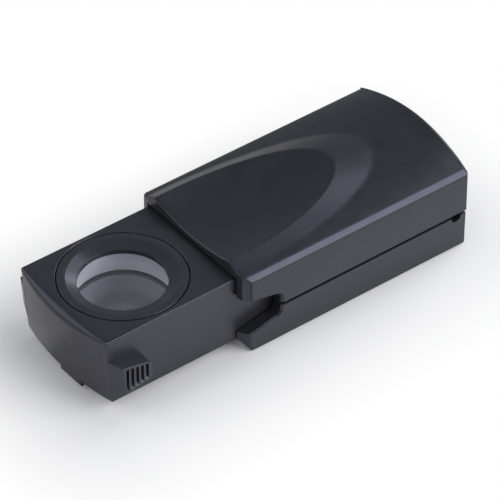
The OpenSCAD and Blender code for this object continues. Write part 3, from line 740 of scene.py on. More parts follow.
def moulded(name, colour, gloss, lift=1.5, sheen=(0.75, 0.745, 1.0)):
    """Moulded plastic: fine grain, smudges, and edges that handling has polished and that get a painted
    highlight in a lighter colour.
    """
    grain_size, relief, strength = mm(0.12), mm(0.012), 0.35
    # The second lift lightens sharp edges, for rubbed wear and a painted highlight
    drift_lift, wear_and_highlight_lift = 0.25, 0.5
    drift_dull, smudge_dull, worn_shine = 0.03, 0.02, 0.06
    material, tree, shader, position = open_material(name)
    grain = effect(tree, moulded_grain, {"Position": position, "Cells": 1.0 / grain_size})
    smudge = effect(tree, handling_marks, {"Position": position})["Smudge"]
    sharp = add(tree, "ShaderNodeNewGeometry").outputs["Pointiness"]
    rubbed_and_highlit = effect(tree, edge_polish, {"Pointiness": sharp})["Rubbed"]
    # The colour turns lighter with the slow drift, and on sharp edges as rubbed wear and a painted
    # highlight
    share = maths(tree, "ADD", maths(tree, "MULTIPLY", grain["Drift"], drift_lift),
                  maths(tree, "MULTIPLY", rubbed_and_highlit, wear_and_highlight_lift))
    drift = spread(tree, grain["Drift"], 0.0, 1.0, gloss - drift_dull, gloss + drift_dull)
    rough = maths(tree, "ADD", drift, maths(tree, "MULTIPLY", smudge, smudge_dull))
    rough = maths(tree, "SUBTRACT", rough, maths(tree, "MULTIPLY", rubbed_and_highlit, worn_shine))
    wire(tree, shader, {
        "Base Color": mix_colour(tree, share, colour, lift), "Roughness": rough, "IOR": 1.54,
        "Normal": bump(tree, grain["Height"], strength, relief), "Specular Tint": (*sheen, 1.0)})
    return material


def polished_glass(name, colour, smear):
    """Clear moulded lens with faint finger smears."""
    smudge_shade = 0.97
    material, tree, shader, position = open_material(name)
    smudge = effect(tree, handling_marks, {"Position": position})["Smudge"]
    wire(tree, shader, {
        "Base Color": mix_colour(tree, smudge, colour, smudge_shade), "IOR": 1.49,
        "Roughness": maths(tree, "MULTIPLY", smudge, smear), "Transmission Weight": 1.0})
    return material


def plated(name, colour, gloss):
    """Rolled or plated metal with a faint lie to its surface."""
    stretch, cells, relief, strength = (1.0, 12.0, 4.0), 900.0, mm(0.01), 0.2
    line_range, line_shade, smudge_shade, dull = (0.35, 0.65), 0.35, 0.4, 0.72
    shine, blur = 0.06, 0.08
    material, tree, shader, position = open_material(name)
    lie = add(tree, "ShaderNodeMapping", {"Vector": position, "Scale": stretch}).outputs["Vector"]
    lines = noise(tree, lie, cells, 3.0)
    smudge = effect(tree, handling_marks, {"Position": position})["Smudge"]
    share = maths(tree, "ADD", spread(tree, lines, *line_range, 0.0, line_shade),
                  maths(tree, "MULTIPLY", smudge, smudge_shade))
    wire(tree, shader, {
        "Base Color": mix_colour(tree, share, colour, dull), "Metallic": 1.0,
        "Roughness": spread(tree, lines, *line_range, gloss - shine, gloss + blur),
        "Normal": bump(tree, lines, strength, relief)})
    return material


# Shade of the lighter parts and tint of the sheen of pale plastics
PALE = (0.9, (1.0, 1.0, 1.0))
# What makes each material, the colour it takes and its gloss or smear
LOOKS = {
    "Outer plastic": (moulded, "case", 0.3),
    "Drawer plastic": (moulded, "drawer", 0.3),
    "Ring plastic": (moulded, "ring", 0.24),
    "Baffle plastic": (moulded, "spacer", 0.5, *PALE),
    "Barrel plastic": (moulded, "barrel", 0.5, *PALE),
    "Lens glass": (polished_glass, "glass", 0.03),
    "Lamp resin": (polished_glass, "resin", 0.2),
    "Tinned wire": (plated, "steel", 0.35),
    "Screw steel": (plated, "steel", 0.3),
    "Spring steel": (plated, "steel", 0.3),
    "Cell steel": (plated, "steel", 0.25),
    "Contact brass": (plated, "brass", 0.3),
}


def material_of(name):
    """Material of that name, made on first use."""
    make, colour, *values = LOOKS[name]
    tone = getattr(bpy.context.scene.loupe_finish, colour)
    return bpy.data.materials.get(name) or make(name, tone, *values)


class LOUPE_OT_upper_shell(bpy.types.Operator):
    """Model the upper shell with its crowned top, thumb dish and shoulder bevels"""
    bl_idname = "loupe.upper_shell"
    bl_label = "Upper Shell"

    LIP_STEPS = 6
    MOUTH_CHAMFER = 0.6
    # First rows below the shoulder whose lip turns straight down, then those where it turns inwards too
    DOWN_ROWS, SLANT_ROWS = 2, 6

    def execute(self, context):
        case, dish, drawer = sizes("case", "dish", "drawer")
        form = CaseForm(case, dish)
        tops = form.top_rings()
        bm = skin(tops + form.edge_rings(), False)
        row_mark, column_mark = [bm.verts.layers.int[name] for name in ("row", "column")]
        ends = (0, len(form.samples) - 1)
        first_edge = len(tops)
        last_row = first_edge + len(form.profile) - 1
        front_edges = [edge for edge in bm.edges if edge.is_boundary
                       and all(vert[column_mark] in ends for vert in edge.verts)]

        def inward(vert):
            side = -1.0 if vert.co.y > 0.0 else 1.0
            row = vert[row_mark] - first_edge
            if row < self.DOWN_ROWS:
                return Vector((0.0, 0.0, -1.0))
            if row < self.SLANT_ROWS:
                return Vector((0.0, side, -1.0)).normalized()
            return Vector((0.0, side, 0.0))

        def push(edges, moved):
            grown = bmesh.ops.extrude_edge_only(bm, edges=edges)["geom"]
            verts = {item for item in grown if isinstance(item, bmesh.types.BMVert)}
            for vert in verts:
                vert.co = moved(vert)
            return [item for item in grown if isinstance(item, bmesh.types.BMEdge)
                    and all(vert in verts for vert in item.verts)]

        def lip(vert):
            share = (vert[row_mark] - first_edge + form.CROWN_STEPS) / form.CROWN_STEPS
            return lerp(case.lip, case.side_lip, held(share, 0.0, 1.0))

        for step in range(self.LIP_STEPS):
            turn, after = [QUARTER_TURN * (step + ahead) / self.LIP_STEPS for ahead in (0, 1)]
            forward = Vector((math.sin(turn) - math.sin(after), 0.0, 0.0))
            inside = math.cos(turn) - math.cos(after)
            front_edges = push(front_edges,
                               lambda vert: vert.co + (inward(vert) * inside + forward) * lip(vert))

        knee = CASE_HALF - case.corner_width + case.break_width

        def facet(vert):
            y = held(vert.co.y, -knee, knee)
            return Vector((form.front(y), y, vert.co.z))

        def mouth(grow, depth):
            half, top = case.cavity_half + grow, case.cavity_top + grow

            def moved(vert):
                y = held(vert.co.y, -half, half)
                x = FRONT + depth if depth > 0.0 else form.front(y)
                return Vector((x, y, vert.co.z if vert.co.z < top - case.lip else top))
            return moved

        chamfer = self.MOUTH_CHAMFER * case.edge
        for moved in (facet, mouth(chamfer, 0.0), mouth(0.0, chamfer), mouth(0.0, case.cavity_end)):
            front_edges = push(front_edges, moved)
        foot = [vert for edge in front_edges for vert in edge.verts if vert[row_mark] == last_row]
        bm.edges.new([end(foot, key=lambda vert: vert.co.y) for end in (min, max)])
        bm = scooped(outward(bm, fill=True), case, drawer)
        place("upper_shell", bm, "Outer plastic", "case", "case_plastic", "case_top")
        return {"FINISHED"}


class LOUPE_OT_lower_shell(bpy.types.Operator):
    """Model the lower shell with its floor, seam reveal and lanyard eye"""
    bl_idname = "loupe.lower_shell"
    bl_label = "Lower Shell"

    REVEAL_DEPTH = 1.4
    BASE_EASE = 0.5

    def execute(self, context):
        case, dish, drawer = sizes("case", "dish", "drawer")
        form = CaseForm(case, dish)
        bevel, foot, rise = case.base_bevel, case.front_foot, case.front_foot_height
        step = self.REVEAL_DEPTH * case.reveal
        waist = LOWER_HALF - case.side_draft
        bm = skin([
            form.plan(waist - bevel, 0.0, foot, bevel, bevel),
            form.plan(waist, bevel, foot * (1 - bevel / rise), 0.0, 0.0),
            form.plan(waist, rise, 0.0, 0.0, 0.0),
            form.plan(LOWER_HALF, SEAM - case.reveal, 0.0, 0.0, 0.0),
            form.plan(LOWER_HALF - step, SEAM - case.reveal, step, step, step),
            form.plan(LOWER_HALF - step, SEAM, step, step, step),
        ], True)
        ease(bm, self.BASE_EASE * case.edge,
             keep=lambda edge: all(vert.co.z < SEAM - TINY for vert in edge.verts)
             and abs(edge.verts[0].co.z - edge.verts[1].co.z) < TINY)
        bm = cut(bm, block((FRONT - 3 * OVER, -case.cavity_half, case.floor),
                           (FRONT + case.cavity_end, case.cavity_half, SEAM + 2 * OVER)))
        bm = scooped(bm, case, drawer)
        radius, out = case.eye_radius, 3 * OVER
        x = REAR - case.rear_bow - case.eye_setback
        y = -LOWER_HALF + case.eye_web
        level = SEAM - case.eye_depth + radius
        bm = cut(bm, rod((x, -LOWER_HALF - out, level), (x, y + radius, level), radius),
                 block((x - radius, -LOWER_HALF - out, level), (x + radius, y + radius, SEAM + out)),
                 rod((x, y, level), (REAR + out, y, level), radius),
                 block((x, y - radius, level), (REAR + out, y + radius, SEAM + out)))
        place("lower_shell", bm, "Outer plastic", "case", "case_plastic", "case_bottom")
        return {"FINISHED"}


class DrawerForm:
    """Outlines of the drawer, worked out from its sizes."""
    FRONT_STEPS, SIDE_STEPS, CORNER_STEPS, TOP_STEPS, GROOVE_STEPS = 40, 6, 3, 6, 96
    FOOT_SHARES = (0.0, 0.5, 1.0)
    # Rounding of a grip in edge radii, first groove in pitches, share of the height that grooves take
    GRIP_EASE, GROOVE_START, GROOVE_REACH = 0.45, 0.7, 0.86

    def __init__(self, drawer):
        self.drawer = drawer
        self.corner_x = LENS_X - drawer.corner
        self.bow_radius = arc_radius(drawer.half, drawer.front_bow)
        self.height = DRAWER_TOP - DRAWER_FLOOR

    def bow(self, y):
        """Forward bow of the front at a distance from the middle."""
        return self.drawer.front_bow - self.bow_radius + math.sqrt(self.bow_radius ** 2 - y * y)

    def front(self, y, level):
        """Front face at a distance from the middle and a height."""
        return self.corner_x - self.bow(y) + self.drawer.front_lean * (DRAWER_TOP - level) / self.height

    def stations(self):
        """Places round the plan: how each lies, which way is in and how far the top edge is rounded."""
        drawer = self.drawer
        inner = drawer.half - drawer.corner_edge
        sideways, back = Vector((0.0, -1.0)), Vector((1.0, 0.0))
        made = [("side", step / self.SIDE_STEPS, sideways, drawer.edge)
                for step in range(self.SIDE_STEPS)]
        for step in range(self.CORNER_STEPS):
            share = step / self.CORNER_STEPS
            made.append(("corner", share, sideways.lerp(back, share).normalized(),
                         lerp(drawer.edge, drawer.front_round, share)))
        for step in range(self.FRONT_STEPS // 2 + 1):
            y = inner * (1 - 2 * step / self.FRONT_STEPS)
            made.append(("front", y, back, drawer.front_round + self.bow(y)))
        return made

    def spot(self, station, level):
        """Point of the plan on the positive side at one height."""
        kind, share = station[:2]
        drawer, half = self.drawer, self.drawer.half
        corner = Vector((self.front(half, level), half))
        start = corner + Vector((drawer.corner_edge, 0.0))
        inner = half - drawer.corner_edge
        if kind == "side":
            return Vector((lerp(DRAWER_REAR, start.x, share), half))
        if kind == "corner":
            return bend(start, corner, Vector((self.front(inner, level), inner)), share)
        return Vector((self.front(share, level), share))

    def ring(self, level_of, inset_of):
        """Closed ring of points, with its height and inset worked out from each station's rounding."""
        half_ring = []
        for station in self.stations():
            level = level_of(station[3])
            point = self.spot(station, level) + station[2] * inset_of(station[3])
            half_ring.append(Vector((point.x, point.y, level)))
        return half_ring + [Vector((point.x, -point.y, point.z)) for point in reversed(half_ring[:-1])]

    def blank(self):
        """Outer form of the drawer without its cuts."""
        edge = self.drawer.edge
        rings = []
        for share in self.FOOT_SHARES:
            turn = share * QUARTER_TURN
            rings.append(self.ring(lambda _: DRAWER_FLOOR + edge * (1 - math.cos(turn)),
                                   lambda _: edge * (1 - math.sin(turn))))
        for step in range(self.TOP_STEPS + 1):
            turn = QUARTER_TURN * step / self.TOP_STEPS
            rings.append(self.ring(lambda rounding: DRAWER_TOP - rounding * (1 - math.sin(turn)),
                                   lambda rounding: rounding * (1 - math.cos(turn))))
        return skin(rings, True)

    def grip(self):
        """Side grip with its slanted front and its grooves."""
        drawer, level = self.drawer, self.drawer.grip_level
        root = drawer.half - drawer.corner_edge
        bm = plate(tongue(drawer, 0.0, 0.0, root, self.corner_x), (0.0, GRIP_HALF - root, 0.0))
        inside = Vector((self.front(drawer.half, level), drawer.half, level))
        along = Vector((self.corner_x + drawer.grip_slant, GRIP_HALF, level)) - inside
        lean = -along.y * drawer.front_lean / self.height
        bmesh.ops.bisect_plane(bm, geom=bm.verts[:] + bm.edges[:] + bm.faces[:], dist=TINY,
                               plane_co=inside, plane_no=(-along.y, along.x, lean), clear_outer=True)
        ease(outward(bm, fill=True), self.GRIP_EASE * drawer.edge, segments=3,
             keep=lambda edge: any(vert.co.y > drawer.half for vert in edge.verts))
        slope = (drawer.grip_front - drawer.grip_rear) / drawer.grip_length
        start = drawer.grip_slant + self.GROOVE_START * drawer.groove_pitch
        side = drawer.groove_width / 2
        for index in range(drawer.groove_count):
            station = start + drawer.groove_pitch * index
            reach = self.GROOVE_REACH * (drawer.grip_front - station * slope)
            radius = arc_radius(reach, drawer.groove_depth)
            x, y = self.corner_x + station, GRIP_HALF + radius - drawer.groove_depth
            bm = cut(bm, rod((x - side, y, level), (x + side, y, level), radius, self.GROOVE_STEPS))
        return bm


class LOUPE_OT_drawer(bpy.types.Operator):
    """Model the sliding drawer with its bowed front, lens bore and grooved side grips"""
    bl_idname = "loupe.drawer"
    bl_label = "Drawer"

    BORE_CHAMFER = 0.3
    COVER_GAP, COVER_LEAD = mm(0.05), mm(0.3)
    # Sides of the notch for the cover's pry tab
    NOTCH_NEAR, NOTCH_FAR = mm(-5.65), mm(0.85)

    def execute(self, context):
        drawer = context.scene.loupe_drawer
        form = DrawerForm(drawer)
        chamfer, gap = self.BORE_CHAMFER * drawer.edge, self.COVER_GAP
        seat, flange, ceiling = LOWER_GLASS_LOW.z, DRAWER_TOP - drawer.flange, BARREL_HIGH.z
        above, below = DRAWER_TOP + OVER, DRAWER_FLOOR - OVER
        recess, bore, well = drawer.recess_radius, drawer.bore_radius, drawer.well_radius
        shaft = [(0.0, above), (recess + chamfer + OVER, above), (recess, DRAWER_TOP - chamfer),
                 (recess, flange), (bore, flange), (bore, seat), (well, seat), (well, ceiling),
                 (bore, ceiling), (bore, below), (0.0, below)]
        low, high = COVER_LOW, COVER_HIGH
        cover_front = form.corner_x + drawer.corner - bore - self.COVER_LEAD
        wall = drawer.half - drawer.wall
        bm = cut(form.blank(), lathe(shaft),
                 block((cover_front, low.y - gap, below), (high.x + gap, high.y + gap, high.z)),
                 block((low.x - 2 * OVER, self.NOTCH_NEAR, below),
                       (cover_front + OVER, self.NOTCH_FAR, high.z)),
                 block((LENS_X + drawer.bay, -wall, high.z - OVER),
                       (high.x + gap, wall, DRAWER_TOP - drawer.wall)))
        for grip in (form.grip(), mirrored(form.grip())):
            bm = combine(bm, grip, "UNION")
        place("drawer_shell", bm, "Drawer plastic", "drawer", "drawer_plastic", "drawer_body")
        return {"FINISHED"}


class LOUPE_OT_eyepiece(bpy.types.Operator):
    """Model the flush eyepiece ring and the spacer between the lenses"""
    bl_idname = "loupe.eyepiece"
    bl_label = "Eyepiece Ring and Spacer"

    def execute(self, context):
        drawer, lens = sizes("drawer", "lens")
        rim = LENS_RADIUS - lens.rim
        aperture = rim - lens.ring_lip
        bevel_floor = DRAWER_TOP - lens.ring_bevel_depth
        flange_floor = DRAWER_TOP - drawer.flange
        ring_floor = flange_floor - lens.ring_skirt
        outside = drawer.recess_radius - lens.ring_gap
        profile = [(aperture, bevel_floor - lens.ring_wall), (rim, ring_floor), (LENS_RADIUS, ring_floor),
                   (LENS_RADIUS, flange_floor), (outside, flange_floor), (outside, DRAWER_TOP),
                   (aperture + lens.ring_bevel, DRAWER_TOP), (aperture, bevel_floor)]
        edge = lens.ring_edge
        trim = lathe(rounded(profile, [edge / 2] + [edge] * 6 + [edge / 2]))
        place("eyepiece_trim", trim, "Ring plastic", "drawer", "ring_plastic", "eyepiece_ring")
        low, high = SPACER_LOW.z, SPACER_HIGH.z
        wall = [(rim, low), (LENS_RADIUS, low), (LENS_RADIUS, high), (rim, high)]
        place("lens_baffle", lathe(rounded(wall, edge)), "Baffle plastic", "drawer", "spacer_plastic",
              "lens_spacer")
        return {"FINISHED"}


class LOUPE_OT_lenses(bpy.types.Operator):
    """Model the two moulded lenses"""
    bl_idname = "loupe.lenses"
    bl_label = "Lenses"

    DOME_STEPS = 14
    EDGE = mm(0.12)

    def execute(self, context):
        lens = context.scene.loupe_lens
        rim = LENS_RADIUS - lens.rim
        inner = LENS_RADIUS - self.EDGE

        def dome(level, rise, way):
            radius = arc_radius(rim, rise)
            places = [rim * step / self.DOME_STEPS for step in range(self.DOME_STEPS + 1)]
            return [(across, level + way * (rise - radius + math.sqrt(radius ** 2 - across ** 2)))
                    for across in places]

        def edge(low, high):
            return [(inner, low), (LENS_RADIUS, low + self.EDGE), (LENS_RADIUS, high - self.EDGE),
                    (inner, high)]

        seat, low = SPACER_HIGH.z, LOWER_GLASS_LOW.z
        top, crest = seat + lens.upper_edge, low + lens.lower_edge
        domes = [dome(seat, lens.upper_dome, -1.0), dome(top, lens.upper_dome, 1.0)[::-1]]
        profiles = {"upper": domes[0] + edge(seat, top) + domes[1],
                    "lower": [(0.0, low)] + edge(low, crest) + dome(crest, lens.lower_dome, 1.0)[::-1]}
        for side, profile in profiles.items():
            piece = place(f"{side}_glass", lathe(profile), "Lens glass", "drawer", "lens_glass",
                          f"{side}_lens")
            piece.visible_shadow = False
        return {"FINISHED"}


class LOUPE_OT_light_well(bpy.types.Operator):
    """Model the pale barrel under the lenses, the lamp that lights it and its leads"""
    bl_idname = "loupe.light_well"
    bl_label = "Light Well and Lamp"

    TILT = math.radians(15)
    EDGE, LEAD_EDGE = mm(0.15), mm(0.06)
    # Radii and lengths of the lamp, its gap in the barrel and how far it stands back from the well
    RADIUS, FLANGE, BODY, COLLAR = mm(1.5), mm(1.9), mm(4.25), mm(1)
    GAP, SETBACK = mm(0.05), mm(0.4)
    DOME_STEPS = 12

    def execute(self, context):
        drawer = context.scene.loupe_drawer
        edge, radius, flange = self.EDGE, self.RADIUS, self.FLANGE
        low, high = BARREL_LOW.z, BARREL_HIGH.z
        liner, foot = drawer.well_radius - 2 * drawer.liner, SCREWS_LOW.z + drawer.liner
        outside = liner + drawer.liner
        wall = [(liner, foot), (outside, foot), (outside, low), (LENS_RADIUS, low), (LENS_RADIUS, high),
                (liner, high)]
        tip = Vector((LENS_X + drawer.well_radius + self.SETBACK, 0.0, (low + high) / 2))
        axis = Vector((math.cos(self.TILT), 0.0, math.sin(self.TILT)))
        barrel = cut(lathe(rounded(wall, [0.0] * 3 + [edge] * 3)),
                     rod(tip - axis * 2 * OVER, tip + axis * 4 * OVER, radius + self.GAP))
        place("light_barrel_shell", barrel, "Barrel plastic", "drawer", "barrel_plastic", "light_barrel")
        turns = [QUARTER_TURN * step / self.DOME_STEPS for step in range(self.DOME_STEPS + 1)]
        profile = [(radius * math.sin(turn), radius * (1 - math.cos(turn))) for turn in turns]
        step, end = radius + self.BODY, radius + self.BODY + self.COLLAR
        profile += [(radius, step - edge), (radius + edge, step), (flange - edge, step),
                    (flange, step + edge), (flange, end - edge), (flange - edge, end), (0.0, end)]
        lamp = lathe(profile, ROD_STEPS, (0.0, 0.0))
        turn = Matrix.Translation(tip) @ axis.to_track_quat("Z", "Y").to_matrix().to_4x4()
        bmesh.ops.transform(lamp, matrix=turn, verts=lamp.verts)
        place("lamp_bulb", lamp, "Lamp resin", "drawer", "lamp_resin", "led")
        for name, node in (("lamp_anode", "anode_lead"), ("lamp_cathode", "cathode_lead")):
            lead = ease(solid_copy(node), self.LEAD_EDGE)
            place(name, lead, "Tinned wire", "drawer", "lead_metal", node)
        return {"FINISHED"}


class LOUPE_OT_base_plate(bpy.types.Operator):
    """Model the plate under the drawer and its two screws"""
    bl_idname = "loupe.base_plate"
    bl_label = "Base Plate and Screws"

    # Depth of the pry tab's face, rounding of the plate and the shortest edge that gets it
    TAB, PLATE_EDGE, PLATE_SHORT = mm(0.1), mm(0.15), mm(1.1)
    HEAD, SHANK, HEAD_HEIGHT, EDGE = mm(1.5), mm(0.8), mm(0.6), mm(0.12)
    SLOT_HALF, SLOT_DEPTH = mm(0.15), mm(0.3)
    THREADS = 8

    def execute(self, context):
        form = DrawerForm(context.scene.loupe_drawer)
        cover = solid_copy("bottom_cover")
        for vert in cover.verts:
            if vert.co.x < COVER_LOW.x + self.TAB:
                vert.co.x = form.front(vert.co.y, vert.co.z)
        ease(cover, self.PLATE_EDGE, keep=lambda edge: edge.calc_length() > self.PLATE_SHORT)
        place("base_plate", cover, "Drawer plastic", "drawer", "drawer_plastic", "bottom_cover")
        head, shank, edge = self.HEAD, self.SHANK, self.EDGE
        low, high = SCREWS_LOW, SCREWS_HIGH
        head_top = low.z + self.HEAD_HEIGHT
        profile = [(0.0, low.z), (head - 2 * edge, low.z), (head, low.z + 2 * edge), (head, head_top),
                   (shank, head_top)]
        for index in range(self.THREADS):
            crest, root = [lerp(head_top, high.z, (index + share) / (self.THREADS + 1))
                           for share in (0.5, 1.0)]
            profile += [(shank, crest), (shank - edge, root)]
        profile += [(shank - edge, high.z), (0.0, high.z)]
        pair = bmesh.new()
        x = (low.x + high.x) / 2
        for y in (low.y + head, high.y - head):
            screw = lathe(profile, ROD_STEPS, (x, y))
            at = Vector((x, y, low.z))
            for arm in (Vector((shank, self.SLOT_HALF, 0.0)), Vector((self.SLOT_HALF, shank, 0.0))):
                screw = cut(screw, block(at - arm - Vector((0.0, 0.0, OVER)),
                                         at + arm + Vector((0.0, 0.0, self.SLOT_DEPTH))))
            mesh = mesh_of(screw, "work")
            pair.from_mesh(mesh)
            bpy.data.meshes.remove(mesh)
        place("plate_screws", pair, "Screw steel", "drawer", "screw_steel", "cover_screws")
        return {"FINISHED"}


class LOUPE_OT_power_set(bpy.types.Operator):
    """Model the button cells, their spring, the contacts and the switch leaf"""
    bl_idname = "loupe.power_set"
    bl_label = "Cells and Contacts"

    CELL_STEPS = 72
    CAP, SEAL, EDGE = mm(0.4), mm(0.7), mm(0.2)
    # Rounding of the contacts and the shortest edge that gets it
    STRIP_EDGE, STRIP_SHORT = mm(0.05), mm(0.4)
    WIRE, WIDE, NARROW = mm(0.25), mm(3.75), mm(2.375)
    TURNS, COIL_STEPS, WIRE_STEPS = 3, 96, 12

    def execute(self, context):
        edge = self.EDGE
        for index in (1, 2, 3):
            node = f"button_cell_{index}"
            low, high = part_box(node)
            centre = ((low.x + high.x) / 2, (low.y + high.y) / 2)
            radius, cap = (high.x - low.x) / 2, low.z + self.CAP
            inner = radius - self.SEAL
            line = [(0.0, low.z), (inner, low.z), (inner, cap), (radius, cap), (radius, high.z),
                    (0.0, high.z)]
            line = rounded(line, [0.0, edge, edge / 2, edge, edge, 0.0], closed=False)
            place(f"cell_{index}", lathe(line, self.CELL_STEPS, centre), "Cell steel", "drawer",
                  "cell_steel", node)
        for name, node in (("cell_strip", "positive_contact"), ("cell_plate", "negative_contact"),
                           ("switch_strip", "switch_leaf")):
            strip = ease(solid_copy(node), self.STRIP_EDGE,
                         keep=lambda edge: edge.calc_length() > self.STRIP_SHORT)
            place(name, strip, "Contact brass", "drawer", "contact_brass", node)
        place("cell_spring", self.coil(), "Spring steel", "drawer", "screw_steel", "battery_spring")
        return {"FINISHED"}

    def coil(self):
        """Conical spring swept from a round wire."""
        wire, wide = self.WIRE, self.WIDE
        centre = (COIL_LOW + COIL_HIGH) / 2
        rise = COIL_HIGH.z - COIL_LOW.z - 2 * wire
        bm = bmesh.new()
        bmesh.ops.create_circle(
            bm, cap_ends=False, segments=self.WIRE_STEPS, radius=wire, matrix=Matrix.LocRotScale(
                (wide, 0.0, COIL_LOW.z + wire), Vector((0, 1, 0)).to_track_quat("Z", "Y"), None))
        bmesh.ops.spin(bm, geom=bm.verts[:] + bm.edges[:], cent=(0, 0, 0), axis=(0, 0, 1),
                       dvec=(0, 0, rise / self.COIL_STEPS), angle=FULL_TURN * self.TURNS,
                       steps=self.COIL_STEPS)
        for vert in bm.verts:
            reach = math.hypot(vert.co.x, vert.co.y)
            share = held((vert.co.z - COIL_LOW.z - wire) / rise, 0.0, 1.0)
            shift = (self.NARROW - wide) * share / reach
            vert.co.x, vert.co.y = vert.co.x * (1 + shift), vert.co.y * (1 + shift)
        bmesh.ops.translate(bm, verts=bm.verts, vec=(centre.x, centre.y, 0.0))
        return outward(bm, fill=True)


class LOUPE_OT_stage(bpy.types.Operator):
    """Set the floor, the light and the camera"""
    bl_idname = "loupe.stage"
    bl_label = "Stage"

    TARGET = Vector((mm(-12.965), mm(-0.21), mm(8.0)))
    AZIMUTH, ELEVATION, DISTANCE = math.radians(-37.51), math.radians(40.52), mm(754.32)
    LENS, SENSOR, CLIP_START, CLIP_END = 288.0, 36.0, 0.01, 100.0
    # Direction, distance, width, height and radiance of each softbox
    LAMPS = {
        "Softbox": ((0.5, -0.66, 0.46), 0.6, 0.45, 0.43, 4.6),
        "Fill": ((-0.75, -0.15, 0.64), 0.7, 0.5, 0.5, 0.8),
        "Side": ((0.88, 0.2, 0.36), 0.7, 0.36, 0.36, 3.2),
        "Back": ((-0.58, 0.63, 0.36), 0.7, 0.5, 0.46, 1.3),
        "Strip": ((0.7, 0.0, 0.7), 0.7, 0.26, 0.26, 2.0),
    }
    SURROUND, WHITE = (0.31, 0.315, 0.34, 1.0), (1.0, 1.0, 1.0, 1.0)
    FLOOR_SIZE, FLOOR_CELLS = 3.0, 8
    FIBRES, FIBRE_SHADE = 1500.0, 0.99
    # How far from the loupe the paper turns white, and how white it is beside it
    CLEARING, CONTACT = mm(25), 0.05
    # Where the paper turns white to reflections on the near, far and left sides, and how white
    NEAR_SIDE, FAR_SIDE, LEFT_SIDE = (mm(-26), mm(-14)), (mm(6), mm(14)), mm(30)
    LEFT_LIFT, FAR_GLOW = 0.3, 0.58

    def execute(self, context):
        scene = context.scene
        scene.view_settings.view_transform = "Standard"
        self.floor(scene)
        self.world(scene)
        for name, (way, distance, width, height, radiance) in self.LAMPS.items():
            data = bpy.data.lights.new(name, "AREA")
            data.shape = "RECTANGLE"
            data.size, data.size_y = width, height
            data.energy = radiance * math.pi * width * height
            self.aim(name, data, Vector(way).normalized() * distance)
        data = bpy.data.cameras.new("Camera")
        data.lens, data.sensor_width = self.LENS, self.SENSOR
        data.clip_start, data.clip_end = self.CLIP_START, self.CLIP_END
        level = math.cos(self.ELEVATION)
        back = Vector((math.sin(self.AZIMUTH) * level, -math.cos(self.AZIMUTH) * level,
                       math.sin(self.ELEVATION)))
        scene.camera = self.aim("Camera", data, back * self.DISTANCE)
        return {"FINISHED"}

    def aim(self, name, data, offset):
        """Put a camera or lamp at an offset from the target, looking at it."""
        thing = linked(name, data)
        thing.location = self.TARGET + offset
        thing.rotation_euler = (-offset).to_track_quat("-Z", "Y").to_euler()
        return thing

    def floor(self, scene):
        """White paper that keeps the shadow close to the loupe."""
        bm = bmesh.new()
        bmesh.ops.create_grid(bm, x_segments=self.FLOOR_CELLS, y_segments=self.FLOOR_CELLS,
                              size=self.FLOOR_SIZE)
        sheet = linked("floor", mesh_of(bm, "floor"))
        material, tree, shader, position = open_material("Paper")
        fibre = noise(tree, position, self.FIBRES, 3.0)
        paper = mix_colour(tree, fibre, scene.loupe_finish.floor, self.FIBRE_SHADE)
        wire(tree, shader, {"Base Color": paper, "Roughness": 0.9, "Specular IOR Level": 0.1})

        def vector(operation, first, second=(0.0, 0.0, 0.0)):
            return add(tree, "ShaderNodeVectorMath", {0: first, 1: second}, operation=operation).outputs

        low, high = CAD_BOX
        centre = [(low[axis] + high[axis]) / 2 for axis in (0, 1)] + [0.0]
        half = [(high[axis] - low[axis]) / 2 for axis in (0, 1)] + [0.0]
        offset = vector("ABSOLUTE", vector("SUBTRACT", position, centre)[0])[0]
        clear = vector("MAXIMUM", vector("SUBTRACT", offset, half)[0])[0]
        away = spread(tree, vector("LENGTH", clear)["Value"], 0.0, self.CLEARING, self.CONTACT, 1.0)
        sides = add(tree, "ShaderNodeSeparateXYZ", {0: position}).outputs
        near = spread(tree, sides["Y"], *self.NEAR_SIDE, 1.0, 0.0)
        far = spread(tree, sides["Y"], *self.FAR_SIDE)
        left = spread(tree, sides["X"], low[0] - self.LEFT_SIDE, low[0], self.LEFT_LIFT, 0.0)
        beside = maths(tree, "MAXIMUM", maths(tree, "MAXIMUM", left, near), far)
        path = add(tree, "ShaderNodeLightPath").outputs
        glossy = path["Is Glossy Ray"]
        seen = maths(tree, "MAXIMUM", path["Is Camera Ray"], path["Is Transmission Ray"])
        lifted = maths(tree, "MAXIMUM", maths(tree, "MULTIPLY", seen, away),
                       maths(tree, "MULTIPLY", glossy, beside))
        strength = spread(tree, maths(tree, "MULTIPLY", glossy, far), 0.0, 1.0, 1.0, self.FAR_GLOW)
        glow = add(tree, "ShaderNodeEmission", {"Strength": strength})
        mixed = add(tree, "ShaderNodeMixShader", {0: lifted, 1: shader.outputs[0], 2: glow.outputs[0]})
        wire(tree, tree.get_output_node("ALL"), {"Surface": mixed.outputs[0]})
        sheet.data.materials.append(material)

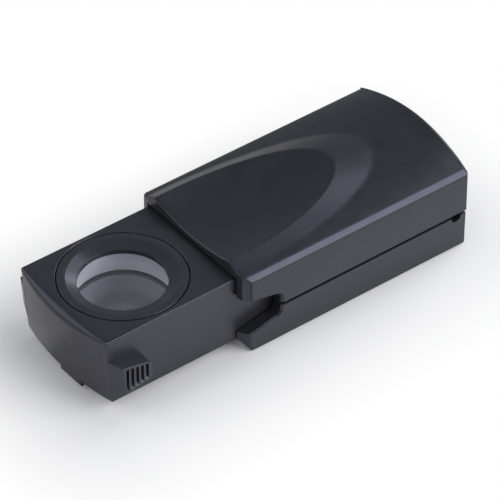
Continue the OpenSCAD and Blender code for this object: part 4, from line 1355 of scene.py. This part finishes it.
    def world(self, scene):
        """Even grey surround that is white to the camera."""
        scene.world = bpy.data.worlds.new("Surround")
        scene.world.use_nodes = True
        tree = scene.world.node_tree
        tree.nodes.clear()
        soft, white = [add(tree, "ShaderNodeBackground", {"Color": colour}).outputs[0]
                       for colour in (self.SURROUND, self.WHITE)]
        seen = add(tree, "ShaderNodeLightPath").outputs["Is Camera Ray"]
        mixed = add(tree, "ShaderNodeMixShader", {0: seen, 1: soft, 2: white})
        add(tree, "ShaderNodeOutputWorld", {"Surface": mixed.outputs[0]})


PIECES = (
    LOUPE_OT_upper_shell,
    LOUPE_OT_lower_shell,
    LOUPE_OT_drawer,
    LOUPE_OT_eyepiece,
    LOUPE_OT_lenses,
    LOUPE_OT_light_well,
    LOUPE_OT_base_plate,
    LOUPE_OT_power_set,
    LOUPE_OT_stage,
)

GROUPS = {
    "loupe_case": LoupeCaseSizes,
    "loupe_dish": LoupeDishSizes,
    "loupe_drawer": LoupeDrawerSizes,
    "loupe_lens": LoupeLensSizes,
    "loupe_finish": LoupeFinish,
}


class LOUPE_PT_sidebar(bpy.types.Panel):
    """Sizes, colours and pieces of the loupe"""
    bl_idname = "LOUPE_PT_sidebar"
    bl_label = "Pocket Loupe"
    bl_space_type = "VIEW_3D"
    bl_region_type = "UI"
    bl_category = "Loupe"

    def draw(self, context):
        for name, group in GROUPS.items():
            box = self.layout.box()
            for entry in group.__annotations__:
                box.prop(getattr(context.scene, name), entry)
        for piece in PIECES:
            self.layout.operator(piece.bl_idname)


CLASSES = tuple(GROUPS.values()) + PIECES + (LOUPE_PT_sidebar,)


def register():
    """Make the classes and the scene's property groups known."""
    for entry in CLASSES:
        bpy.utils.register_class(entry)
    for name, group in GROUPS.items():
        setattr(bpy.types.Scene, name, PointerProperty(type=group))


def unregister():
    """Take them away again."""
    for name in GROUPS:
        delattr(bpy.types.Scene, name)
    for entry in reversed(CLASSES):
        bpy.utils.unregister_class(entry)


def main():
    """Build every piece and the stage."""
    register()
    for piece in PIECES:
        group, name = piece.bl_idname.split(".")
        getattr(getattr(bpy.ops, group), name)()


if __name__ == "__main__":
    main()
